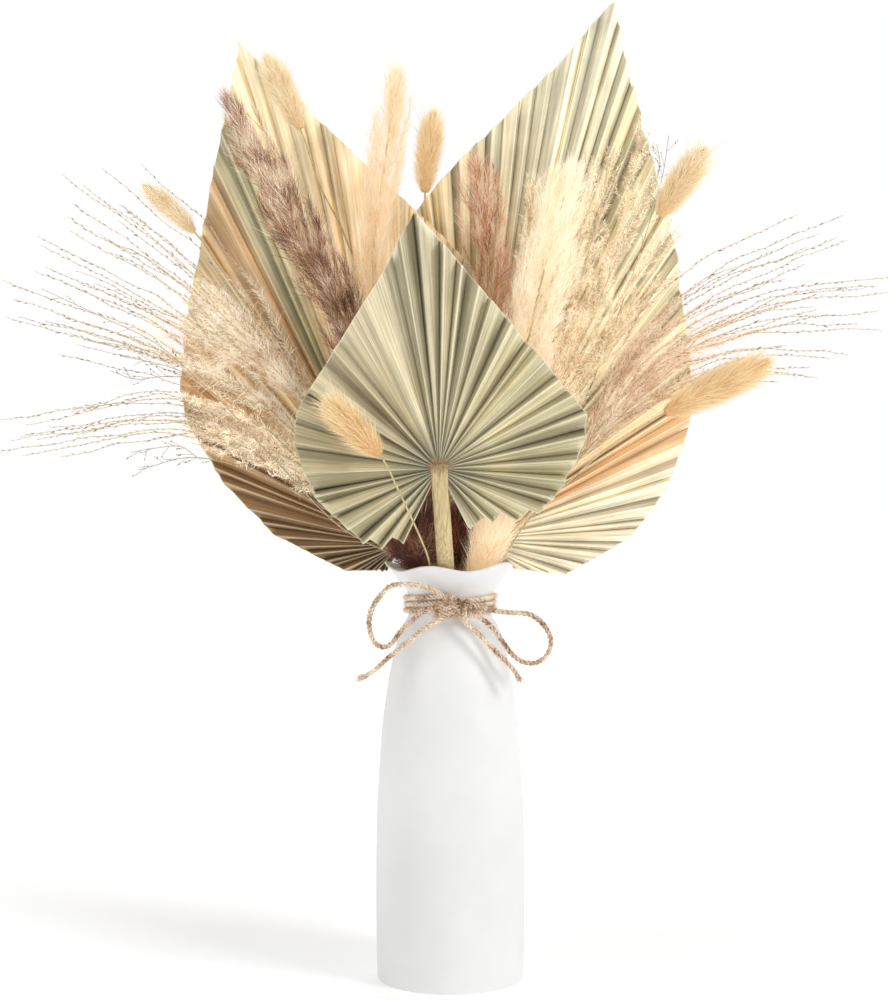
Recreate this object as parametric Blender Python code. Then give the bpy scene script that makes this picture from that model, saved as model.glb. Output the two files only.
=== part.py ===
"""A white ceramic vase of dried grasses and palm leaves, its neck tied with a jute bow.

Everything is in millimetres until a mesh is made. The vase stands on z = 0 around the Z axis,
and the front of the arrangement faces -Y.
"""

import math

import bmesh
import bpy
from mathutils import Vector

MM = 0.001

# Driving dimensions of the vase.
BODY_RADIUS = 35.5
BASE_RADIUS = 33.6
NECK_RADIUS = 19.3
NECK_HEIGHT = 177.0
RIM_RADIUS = 30.8
RIM_HEIGHT = 197.2
RIM_LOBES = 5
RIM_WAVE = 1.4
RIM_DIP = 1.9
RIM_FLARE_WAVE = 0.8
RIM_CROWN = 0.6
CREST_ANGLE = math.radians(-18)
WALL = 2.6
NECK_WALL = 2.3
LIP_WALL = 1.8
FLOOR = 4.6
VASE_SIDES = 36

# The jute twine and its bow.
TWINE = 2.6
WRAP_TURNS = 3
WRAP_PITCH = 3.3
WRAP_POINTS_A_TURN = 22
WRAP_STEP = 6.2
TOUCH = 0.3

# Where the stems stand in the vase, as x and y at the neck, and how they splay below and above it.
STEM_FOOT = FLOOR + TOUCH
STEM_SPLAY = (
    (STEM_FOOT, 1.35),
    (100.0, 1.16),
    (174.0, 1.0),
    (182.0, 1.02),
    (188.0, 1.14),
)
NECK_PLACES = {
    "palm_leaf_front": (-3.3, -12.2),
    "palm_leaf_left": (-7.2, 11.0),
    "palm_leaf_right": (4.2, 12.6),
    "reed_plume_brown": (-8.8, -6.6),
    "reed_plume_pink": (2.8, 2.2),
    "pampas_plume_centre": (-2.8, 3.2),
    "pampas_plume_right": (8.0, -6.4),
    "silver_grass_left_upper": (-11.6, 4.6),
    "silver_grass_left_lower": (-12.6, -1.6),
    "silver_grass_right": (12.6, -0.8),
    "curly_grass_left": (-8.4, 0.6),
    "curly_grass_right": (8.4, 4.2),
    "curly_grass_middle": (8.0, 8.8),
    "bunny_tail_far_left": (-11.6, 8.0),
    "bunny_tail_left": (-5.2, 7.0),
    "bunny_tail_centre": (-0.4, 7.6),
    "bunny_tail_right": (11.3, 8.0),
    "bunny_tail_far_right": (13.4, -5.6),
    "bunny_tail_front": (-9.2, -11.2),
    "seed_twig_left": (-14.6, 1.6),
    "seed_twig_low": (-14.2, -5.4),
    "seed_twig_right": (14.2, 4.0),
}

# Steps along the parts, which set how finely the meshes follow their curves.
STEM_STEP = 23.0
SHOOT_STEP = 17.0
HEAD_STEP = 11.0
STEM_SIDES = 5
HEAD_SIDES = 8


def clear_scene():
    for old in list(bpy.data.objects):
        bpy.data.objects.remove(old, do_unlink=True)


def material(name, colour, roughness, metallic=0.0):
    made = bpy.data.materials.get(name) or bpy.data.materials.new(name)
    made.use_nodes = True
    surface = made.node_tree.nodes["Principled BSDF"]
    surface.inputs["Base Color"].default_value = (*colour, 1.0)
    surface.inputs["Roughness"].default_value = roughness
    surface.inputs["Metallic"].default_value = metallic
    return made


def add_object(name, bm, finish, guide=False):
    bmesh.ops.scale(bm, vec=(MM, MM, MM), verts=bm.verts)
    bmesh.ops.recalc_face_normals(bm, faces=bm.faces)
    mesh = bpy.data.meshes.new(name)
    bm.to_mesh(mesh)
    bm.free()
    mesh.shade_smooth()
    made = bpy.data.objects.new(name, mesh)
    made.data.materials.append(finish)
    bpy.context.scene.collection.objects.link(made)
    if guide:
        made.hide_render = True
        made.display_type = "WIRE"
    return made


def join_to(body, branches):
    """Grow the branches onto the body, so both are one solid."""
    union = body.modifiers.new("grown together", "BOOLEAN")
    union.operation = "UNION"
    union.solver = "EXACT"
    union.use_self = True
    union.object = branches


def mix(a, b, share):
    return a + (b - a) * share


def ease(value, low, high):
    share = min(max((value - low) / (high - low), 0.0), 1.0)
    return share * share * (3.0 - 2.0 * share)


def along(knots, value):
    """A value read from (position, value) knots, which straight runs join."""
    if value <= knots[0][0]:
        return knots[0][1]
    for (low, start), (high, end) in zip(knots, knots[1:]):
        if value <= high:
            return mix(start, end, (value - low) / (high - low))
    return knots[-1][1]


def smooth_route(points, step):
    """Points about a step apart on a smooth curve through the given ones."""
    points = [Vector(p) for p in points]
    ends = [2 * points[0] - points[1], *points, 2 * points[-1] - points[-2]]
    fine = []
    for a, b, c, d in zip(ends, ends[1:], ends[2:], ends[3:]):
        for i in range(16):
            t = i / 16
            bend = 2 * a - 5 * b + 4 * c - d
            turn = 3 * b - a - 3 * c + d
            fine.append(0.5 * (2 * b + (c - a) * t + bend * t * t + turn * t * t * t))
    fine.append(points[-1])
    lengths = [0.0]
    for a, b in zip(fine, fine[1:]):
        lengths.append(lengths[-1] + (b - a).length)
    count = max(2, round(lengths[-1] / step))
    route = []
    span = 0
    for i in range(count + 1):
        goal = lengths[-1] * i / count
        while span < len(lengths) - 2 and lengths[span + 1] < goal:
            span += 1
        share = (goal - lengths[span]) / (lengths[span + 1] - lengths[span])
        route.append(mix(fine[span], fine[span + 1], share))
    return route


def sweep(bm, route, radii, sides, flat=1.0, facing=Vector((0, -1, 0))):
    """A closed tube along the route. Flat is its depth over its width, across the facing way."""
    rings = []
    for i, point in enumerate(route):
        before = route[max(i - 1, 0)]
        after = route[min(i + 1, len(route) - 1)]
        tangent = (after - before).normalized()
        depth = (facing - facing.dot(tangent) * tangent).normalized()
        width = depth.cross(tangent)
        ring = []
        for side in range(sides):
            angle = math.tau * (side + 0.5) / sides
            offset = width * math.cos(angle) + depth * math.sin(angle) * flat
            ring.append(bm.verts.new(point + offset * radii[i]))
        rings.append(ring)
    for low, high in zip(rings, rings[1:]):
        for side in range(sides):
            beside = (side + 1) % sides
            bm.faces.new((low[side], low[beside], high[beside], high[side]))
    bm.faces.new(rings[0][::-1])
    bm.faces.new(rings[-1])


def up_the_vase(name):
    """The stem's way from the vase floor through the neck to where the rim flares."""
    x, y = NECK_PLACES[name]
    return [(x * splay, y * splay, z) for z, splay in STEM_SPLAY]


# The vase: a slip-cast ceramic bottle with a drawn-in neck and a wavy, flared rim.
OUTER_PROFILE = (
    (0.0, BASE_RADIUS),
    (2.0, BODY_RADIUS - 0.4),
    (40.0, BODY_RADIUS),
    (75.0, BODY_RADIUS - 0.3),
    (98.0, BODY_RADIUS - 1.3),
    (118.0, BODY_RADIUS - 2.6),
    (134.0, BODY_RADIUS - 4.6),
    (148.0, BODY_RADIUS - 7.0),
    (159.0, BODY_RADIUS - 9.6),
    (167.0, NECK_RADIUS + 3.9),
    (172.0, NECK_RADIUS + 1.1),
    (NECK_HEIGHT, NECK_RADIUS),
    (182.0, NECK_RADIUS + 0.5),
    (186.0, NECK_RADIUS + 2.6),
    (190.0, NECK_RADIUS + 5.9),
    (194.0, NECK_RADIUS + 8.9),
    (RIM_HEIGHT, RIM_RADIUS),
)
INNER_HEIGHTS = (194.0, 190.0, 186.0, 182.0, 177.0, 172.0, 166.0, 157.0, 140.0, 110.0, 60.0, 9.0)
FLOOR_ROUND = 4.0


def wall_at(z):
    knots = ((0.0, WALL), (150.0, WALL), (NECK_HEIGHT, NECK_WALL), (RIM_HEIGHT, LIP_WALL))
    return along(knots, z)


def vase_ring(bm, z, radius):
    """One ring of the vase. Toward the rim it waves up and down and in and out."""
    wave = ease(z, NECK_HEIGHT + 5, RIM_HEIGHT)
    ring = []
    for side in range(VASE_SIDES):
        angle = math.tau * side / VASE_SIDES
        lobe = math.cos(RIM_LOBES * (angle - CREST_ANGLE))
        lift = RIM_WAVE * lobe - RIM_DIP * math.cos(angle - CREST_ANGLE)
        reach = radius + wave * RIM_FLARE_WAVE * lobe
        x = reach * math.sin(angle)
        y = -reach * math.cos(angle)
        ring.append(bm.verts.new((x, y, z + wave * lift)))
    return ring


def build_vase():
    bm = bmesh.new()
    rings = [vase_ring(bm, z, radius) for z, radius in OUTER_PROFILE]
    rings.append(vase_ring(bm, RIM_HEIGHT + RIM_CROWN, RIM_RADIUS - LIP_WALL / 2))
    rings.append(vase_ring(bm, RIM_HEIGHT, RIM_RADIUS - LIP_WALL))
    for z in INNER_HEIGHTS:
        rings.append(vase_ring(bm, z, along(OUTER_PROFILE, z) - wall_at(z)))
    rings.append(vase_ring(bm, FLOOR, BODY_RADIUS - WALL - FLOOR_ROUND))
    for low, high in zip(rings, rings[1:]):
        for side in range(VASE_SIDES):
            beside = (side + 1) % VASE_SIDES
            bm.faces.new((low[side], low[beside], high[beside], high[side]))
    for ring, z in ((rings[0], 0.0), (rings[-1], FLOOR)):
        centre = bm.verts.new((0, 0, z))
        for side in range(VASE_SIDES):
            bm.faces.new((ring[side], ring[(side + 1) % VASE_SIDES], centre))
    add_object("vase", bm, material("ceramic", (0.86, 0.86, 0.85), 0.45))


# The jute: three turns round the neck, a knot in front, two loops and two tails.
KNOT_CENTRE = Vector((2.6, -25.8, 178.0))
KNOT_SIZE = Vector((6.0, 3.0, 4.4))
LOOP_LEFT = (
    (-1.9, -26.8, 181.7),
    (-6.3, -27.6, 185.2),
    (-13.2, -28.2, 188.0),
    (-20.7, -28.0, 188.9),
    (-27.7, -27.4, 188.0),
    (-32.8, -26.6, 183.3),
    (-36.5, -26.0, 177.3),
    (-37.9, -25.6, 171.2),
    (-37.0, -25.6, 165.2),
    (-34.6, -26.0, 161.0),
    (-30.5, -26.6, 159.6),
    (-26.7, -27.2, 161.9),
    (-23.9, -27.7, 166.1),
    (-18.8, -28.4, 171.2),
    (-13.2, -28.6, 175.8),
    (-7.6, -28.0, 178.2),
    (-3.5, -27.1, 178.6),
)
LOOP_RIGHT = (
    (9.0, -26.6, 179.4),
    (12.3, -27.0, 178.7),
    (19.3, -27.6, 176.9),
    (25.9, -27.8, 175.9),
    (31.0, -27.6, 175.4),
    (36.6, -27.2, 174.9),
    (41.7, -26.6, 171.7),
    (45.0, -26.2, 167.5),
    (46.8, -26.0, 162.4),
    (45.9, -26.0, 157.7),
    (43.1, -26.2, 154.0),
    (38.9, -26.6, 152.1),
    (32.8, -27.2, 153.1),
    (28.2, -27.6, 156.8),
    (24.5, -27.8, 161.9),
    (20.7, -27.8, 167.1),
    (16.4, -27.4, 171.6),
    (12.0, -27.0, 174.0),
    (8.4, -26.5, 175.3),
)
TAIL_LEFT = (
    (-1.3, -28.2, 174.7),
    (-5.6, -29.6, 172.2),
    (-12.0, -30.4, 168.6),
    (-17.6, -30.4, 164.0),
    (-23.6, -30.2, 159.2),
    (-29.2, -30.0, 154.6),
    (-34.6, -29.8, 149.6),
    (-38.6, -29.6, 146.8),
    (-42.0, -29.4, 145.4),
)
TAIL_RIGHT = (
    (5.0, -28.1, 173.9),
    (8.6, -29.6, 169.8),
    (14.6, -30.4, 164.4),
    (19.2, -30.4, 159.4),
    (24.0, -30.2, 155.0),
    (27.8, -30.0, 151.2),
    (30.4, -29.8, 147.4),
    (32.2, -29.6, 144.6),
)
CORD_STEP = 2.4 * TWINE


def add_cord(name, route, step, resolution):
    curve = bpy.data.curves.new(name, "CURVE")
    curve.dimensions = "3D"
    curve.bevel_depth = TWINE / 2 * MM
    curve.bevel_resolution = resolution
    curve.use_fill_caps = True
    curve.render_resolution_u = 0
    points = smooth_route(route, step)
    line = curve.splines.new("POLY")
    line.points.add(len(points) - 1)
    for spot, point in zip(line.points, points):
        spot.co = (*(point * MM), 1.0)
    made = bpy.data.objects.new(name, curve)
    made.data.materials.append(material("jute", (0.62, 0.44, 0.28), 0.9))
    bpy.context.scene.collection.objects.link(made)


def build_twine_wrap():
    start = NECK_HEIGHT - WRAP_TURNS * WRAP_PITCH / 2
    steps = WRAP_POINTS_A_TURN * WRAP_TURNS
    route = []
    for i in range(steps + 1):
        turn = WRAP_TURNS * i / steps
        z = start + WRAP_PITCH * turn
        slack = max(along(OUTER_PROFILE, z + reach) for reach in (-1.0, 0.0, 1.0))
        radius = slack + TOUCH + TWINE / 2
        angle = math.tau * turn
        route.append((radius * math.sin(angle), -radius * math.cos(angle), z))
    add_cord("twine_wrap", route, WRAP_STEP, 1)


def build_knot():
    bm = bmesh.new()
    bmesh.ops.create_icosphere(bm, subdivisions=2, radius=1.0)
    for vert in bm.verts:
        vert.co = Vector(a * b for a, b in zip(vert.co, KNOT_SIZE)) + KNOT_CENTRE
    add_object("bow_knot", bm, material("jute", (0.62, 0.44, 0.28), 0.9))


def build_twine():
    build_twine_wrap()
    build_knot()
    add_cord("bow_loop_left", LOOP_LEFT, CORD_STEP, 2)
    add_cord("bow_loop_right", LOOP_RIGHT, CORD_STEP, 2)
    add_cord("bow_tail_left", TAIL_LEFT, CORD_STEP, 2)
    add_cord("bow_tail_right", TAIL_RIGHT, CORD_STEP, 2)


# The palm leaves: pleated fans cut to a spade shape, each on its own leaf stalk.
# An outline gives half the leaf, as the distance across and the height above the stalk's top.
LEAVES = {
    "palm_leaf_front": {
        "heart": (-5.8, -33.0, 242.7),
        "tip": (-15.6, -41.0, 361.0),
        "front": (0.0, -1.0, 0.0),
        "outline": (
            (0.0, 119.0),
            (22.0, 88.7),
            (51.7, 45.7),
            (67.7, 22.9),
            (69.0, 15.0),
            (66.8, 4.6),
            (59.5, -8.2),
            (43.9, -24.7),
            (15.0, -31.0),
        ),
        "crowding": 0.1,
        "stalk": ((-3.7, -21.4, 195.0), (-3.9, -25.0, 200.0), (-4.5, -29.6, 215.0)),
        "stalk_width": 8.0,
        "colour": (0.42, 0.38, 0.24),
    },
    "palm_leaf_left": {
        "heart": (-24.5, 20.0, 206.0),
        "tip": (-105.6, 34.0, 456.0),
        "front": (-0.05, -1.0, 0.0),
        "outline": (
            (0.0, 263.0),
            (21.2, 224.6),
            (63.2, 146.6),
            (79.5, 110.6),
            (82.0, 88.0),
            (73.5, 55.8),
            (57.8, 25.2),
            (30.0, 2.0),
            (10.0, -5.0),
        ),
        "crowding": 0.6,
        "stalk": ((-11.4, 14.2, 194.0), (-16.2, 16.6, 199.0)),
        "stalk_width": 5.4,
        "colour": (0.66, 0.54, 0.36),
    },
    "palm_leaf_right": {
        "heart": (11.0, 27.0, 208.5),
        "tip": (82.6, 57.0, 479.0),
        "front": (0.02, -1.0, 0.0),
        "outline": (
            (0.0, 277.9),
            (18.0, 248.0),
            (63.7, 166.3),
            (84.7, 111.0),
            (91.1, 82.2),
            (87.2, 49.8),
            (76.2, 22.9),
            (49.3, 0.0),
            (15.0, -5.0),
        ),
        "crowding": 0.6,
        "stalk": ((5.6, 17.2, 194.0), (7.2, 20.4, 200.0)),
        "stalk_width": 5.4,
        "colour": (0.74, 0.64, 0.44),
    },
}
LEAF_THICK = 1.1
HEART_THICK = 2.6
HEART_RADIUS = 5.0
PLEATS = 22
PLEAT_RISE = 0.3
PLEAT_MOST = 1.7
LEAF_RINGS = (0.0, 0.22, 0.48, 0.74, 1.0)
STALK_FLAT = 0.42
STALK_SIDES = 8
STALK_STEP = 12.0
STALK_IN_VASE = 5.8
STALK_PAST_HEART = 1.5


def leaf_reach(outline, angle):
    """How far the leaf goes from its heart at an angle from its tip, out to the cut outline."""
    ray = Vector((math.sin(abs(angle)), math.cos(angle)))
    for a, b in zip(outline, outline[1:]):
        edge = Vector(b) - Vector(a)
        across = ray.x * edge.y - ray.y * edge.x
        if abs(across) < 1e-9:
            continue
        share = (a[1] * ray.x - a[0] * ray.y) / -across
        if -1e-6 <= share <= 1.0 + 1e-6:
            return (Vector(a) + share * edge).length
    return Vector(outline[-1]).length


def pleat_angles(spread, crowding):
    """The fold angles from one side to the other. Crowding packs them toward the tip."""
    angles = []
    for i in range(2 * PLEATS + 1):
        place = i / PLEATS - 1.0
        angles.append(spread * ((1.0 - crowding) * place + crowding * place * abs(place)))
    return angles


def blade_points(shape, face):
    """The rows of points of one face of the blade. Face is 1 at the front and -1 at the back."""
    heart = Vector(shape["heart"])
    up = (Vector(shape["tip"]) - heart).normalized()
    front = Vector(shape["front"])
    front = (front - front.dot(up) * up).normalized()
    right = up.cross(front)
    last = shape["outline"][-1]
    angles = pleat_angles(math.atan2(last[0], last[1]), shape["crowding"])
    rows = []
    for ring, share in enumerate(LEAF_RINGS):
        row = []
        for i, angle in enumerate(angles):
            beside = angles[i + 1] if i < 2 * PLEATS else angles[i - 1]
            distance = mix(HEART_RADIUS, leaf_reach(shape["outline"], angle), share)
            rise = min(PLEAT_RISE * distance * abs(beside - angle), PLEAT_MOST)
            fold = rise if i % 2 else -rise
            thick = mix(HEART_THICK, LEAF_THICK, ease(ring, 0, 1)) / 2
            side = right * math.sin(angle) + up * math.cos(angle)
            row.append(heart + side * distance + front * (fold + face * thick))
        rows.append(row)
    return heart + front * (face * HEART_THICK / 2), rows


def build_leaf(name):
    shape = LEAVES[name]
    bm = bmesh.new()
    grids = []
    hearts = []
    for face in (1, -1):
        centre, rows = blade_points(shape, face)
        hearts.append(bm.verts.new(centre))
        grids.append([[bm.verts.new(point) for point in row] for row in rows])
    for centre, grid in zip(hearts, grids):
        for a, b in zip(grid[0], grid[0][1:]):
            bm.faces.new((centre, a, b))
        for low, high in zip(grid, grid[1:]):
            for i in range(len(low) - 1):
                bm.faces.new((low[i], low[i + 1], high[i + 1], high[i]))
    for side in (0, -1):
        edges = [[centre, *(row[side] for row in grid)] for centre, grid in zip(hearts, grids)]
        for i in range(len(edges[0]) - 1):
            bm.faces.new((edges[0][i], edges[0][i + 1], edges[1][i + 1], edges[1][i]))
    rims = [grid[-1] for grid in grids]
    for i in range(len(rims[0]) - 1):
        bm.faces.new((rims[0][i], rims[0][i + 1], rims[1][i + 1], rims[1][i]))
    finish = material(name, shape["colour"], 0.75)
    blade = add_object(name, bm, finish)

    heart = Vector(shape["heart"])
    top = heart + (heart - Vector(shape["stalk"][-1])).normalized() * STALK_PAST_HEART
    route = smooth_route([*up_the_vase(name), *shape["stalk"], top], STALK_STEP)
    radii = []
    for point in route:
        out = ease(point.z, NECK_HEIGHT, RIM_HEIGHT)
        radii.append(mix(STALK_IN_VASE, shape["stalk_width"], out) / 2)
    bm = bmesh.new()
    sweep(bm, route, radii, STALK_SIDES, STALK_FLAT)
    join_to(blade, add_object(name + "_stalk", bm, finish, guide=True))


# The plumes and bunny tails: one stalk each, with a soft head that swells and comes to a tip.
# A route starts where the stalk leaves the mouth of the vase and ends at the tip of the head.
HEADS = {
    "reed_plume_brown": {
        "route": (
            (-14.0, -10.0, 199.0),
            (-18.6, -14.0, 215.0),
            (-31.0, -18.0, 256.0),
            (-50.0, -13.0, 311.0),
            (-71.5, -8.0, 352.0),
            (-90.0, -3.0, 388.0),
            (-109.5, 2.0, 426.0),
        ),
        "head": 250.0,
        "radius": 8.6,
        "swell": ((0.0, 0.2), (0.08, 0.75), (0.3, 0.95), (0.6, 1.0), (0.85, 0.75), (1.0, 0.1)),
        "colour": (0.28, 0.17, 0.13),
    },
    "reed_plume_pink": {
        "route": (
            (4.4, 2.0, 198.0),
            (9.5, 2.0, 228.0),
            (15.3, 3.0, 276.0),
            (18.2, 2.0, 329.0),
            (14.6, 0.0, 372.0),
            (11.9, 0.0, 397.0),
        ),
        "head": 198.0,
        "radius": 10.0,
        "swell": ((0.0, 0.15), (0.12, 0.5), (0.35, 0.75), (0.65, 1.0), (0.9, 0.8), (1.0, 0.1)),
        "colour": (0.48, 0.29, 0.22),
    },
    "pampas_plume_centre": {
        "route": (
            (-6.4, 4.4, 200.0),
            (-16.0, 2.0, 238.0),
            (-30.4, 1.0, 286.0),
            (-36.7, 1.0, 339.0),
            (-33.8, 2.0, 372.0),
            (-29.5, 3.0, 406.0),
            (-25.7, 4.0, 439.0),
        ),
        "head": 176.0,
        "radius": 8.6,
        "swell": ((0.0, 0.15), (0.15, 0.7), (0.4, 1.0), (0.75, 0.95), (0.92, 0.6), (1.0, 0.1)),
        "colour": (0.83, 0.67, 0.43),
    },
    "pampas_plume_right": {
        "route": (
            (15.6, -11.0, 199.0),
            (21.6, -14.4, 222.0),
            (29.6, -17.0, 264.0),
            (37.6, -16.0, 308.0),
            (48.2, -12.0, 351.0),
            (59.4, -8.0, 390.0),
        ),
        "head": 204.0,
        "radius": 12.4,
        "swell": ((0.0, 0.25), (0.1, 0.66), (0.3, 0.7), (0.6, 1.0), (0.85, 0.85), (1.0, 0.1)),
        "colour": (0.86, 0.69, 0.44),
    },
    "bunny_tail_far_left": {
        "route": (
            (-17.0, 11.4, 199.0),
            (-33.0, 13.0, 222.0),
            (-54.0, 15.0, 252.0),
            (-88.0, 16.0, 306.0),
            (-114.5, 15.0, 344.0),
            (-125.0, 13.0, 359.0),
            (-149.0, 10.0, 381.0),
        ),
        "head": 33.0,
        "radius": 5.6,
    },
    "bunny_tail_left": {
        "route": (
            (-7.8, 11.0, 200.0),
            (-14.0, 13.4, 222.0),
            (-28.0, 15.0, 270.0),
            (-47.8, 16.0, 347.0),
            (-63.3, 13.0, 381.0),
            (-73.0, 10.0, 409.0),
            (-89.5, 8.0, 443.5),
        ),
        "head": 39.0,
        "radius": 7.0,
    },
    "bunny_tail_centre": {
        "route": (
            (-1.2, 10.6, 204.0),
            (-6.9, 12.0, 262.0),
            (-10.8, 12.0, 325.0),
            (-12.2, 9.0, 377.0),
            (-7.8, 8.0, 416.0),
        ),
        "head": 39.0,
        "radius": 6.4,
    },
    "bunny_tail_right": {
        "route": (
            (16.0, 10.8, 199.0),
            (31.0, 15.0, 222.0),
            (59.0, 20.0, 277.0),
            (86.0, 20.0, 331.0),
            (102.0, 14.0, 366.0),
            (123.5, 8.0, 397.5),
        ),
        "head": 38.0,
        "radius": 8.0,
    },
    "bunny_tail_far_right": {
        "route": (
            (24.6, -12.4, 200.0),
            (36.0, -23.0, 218.0),
            (51.0, -28.0, 233.0),
            (74.0, -29.0, 253.0),
            (99.0, -26.0, 268.0),
            (123.4, -24.0, 280.0),
            (148.5, -22.0, 292.5),
        ),
        "head": 54.0,
        "radius": 8.2,
    },
    "bunny_tail_front": {
        "route": (
            (-9.6, -23.0, 196.0),
            (-10.6, -28.6, 202.0),
            (-13.6, -35.0, 210.0),
            (-18.0, -40.0, 220.0),
            (-24.0, -43.6, 233.0),
            (-31.7, -46.0, 248.0),
            (-44.0, -49.0, 260.5),
            (-56.0, -51.0, 272.5),
        ),
        "head": 34.0,
        "radius": 7.2,
    },
}
TAIL_SWELL = ((0.0, 0.3), (0.15, 0.8), (0.4, 1.0), (0.75, 0.85), (0.93, 0.45), (1.0, 0.1))
TAIL_COLOUR = (0.80, 0.62, 0.36)
PLUME_STALK = 1.4
TAIL_STALK = 0.8
TAIL_SIDES = 7
STALK_SPANS = 14
FINE_STEP = 1.0


def build_head(name):
    shape = HEADS[name]
    tail = name.startswith("bunny")
    stalk = TAIL_STALK if tail else PLUME_STALK
    swell = shape.get("swell", TAIL_SWELL)
    fine = smooth_route([*up_the_vase(name), *shape["route"]], FINE_STEP)
    total = len(fine) - 1
    foot = round(total - shape["head"] / FINE_STEP)
    head_step = HEAD_STEP / 2 if tail else HEAD_STEP
    stops = [round(foot * i / STALK_SPANS) for i in range(STALK_SPANS)]
    count = round(shape["head"] / head_step)
    stops += [round(mix(foot, total, i / count)) for i in range(count + 1)]
    radii = []
    for stop in stops:
        share = (stop - foot) / (total - foot)
        radii.append(stalk if share < 0 else max(stalk, shape["radius"] * along(swell, share)))
    bm = bmesh.new()
    sweep(bm, [fine[stop] for stop in stops], radii, TAIL_SIDES if tail else HEAD_SIDES)
    add_object(name, bm, material(name, shape.get("colour", TAIL_COLOUR), 0.95))


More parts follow.
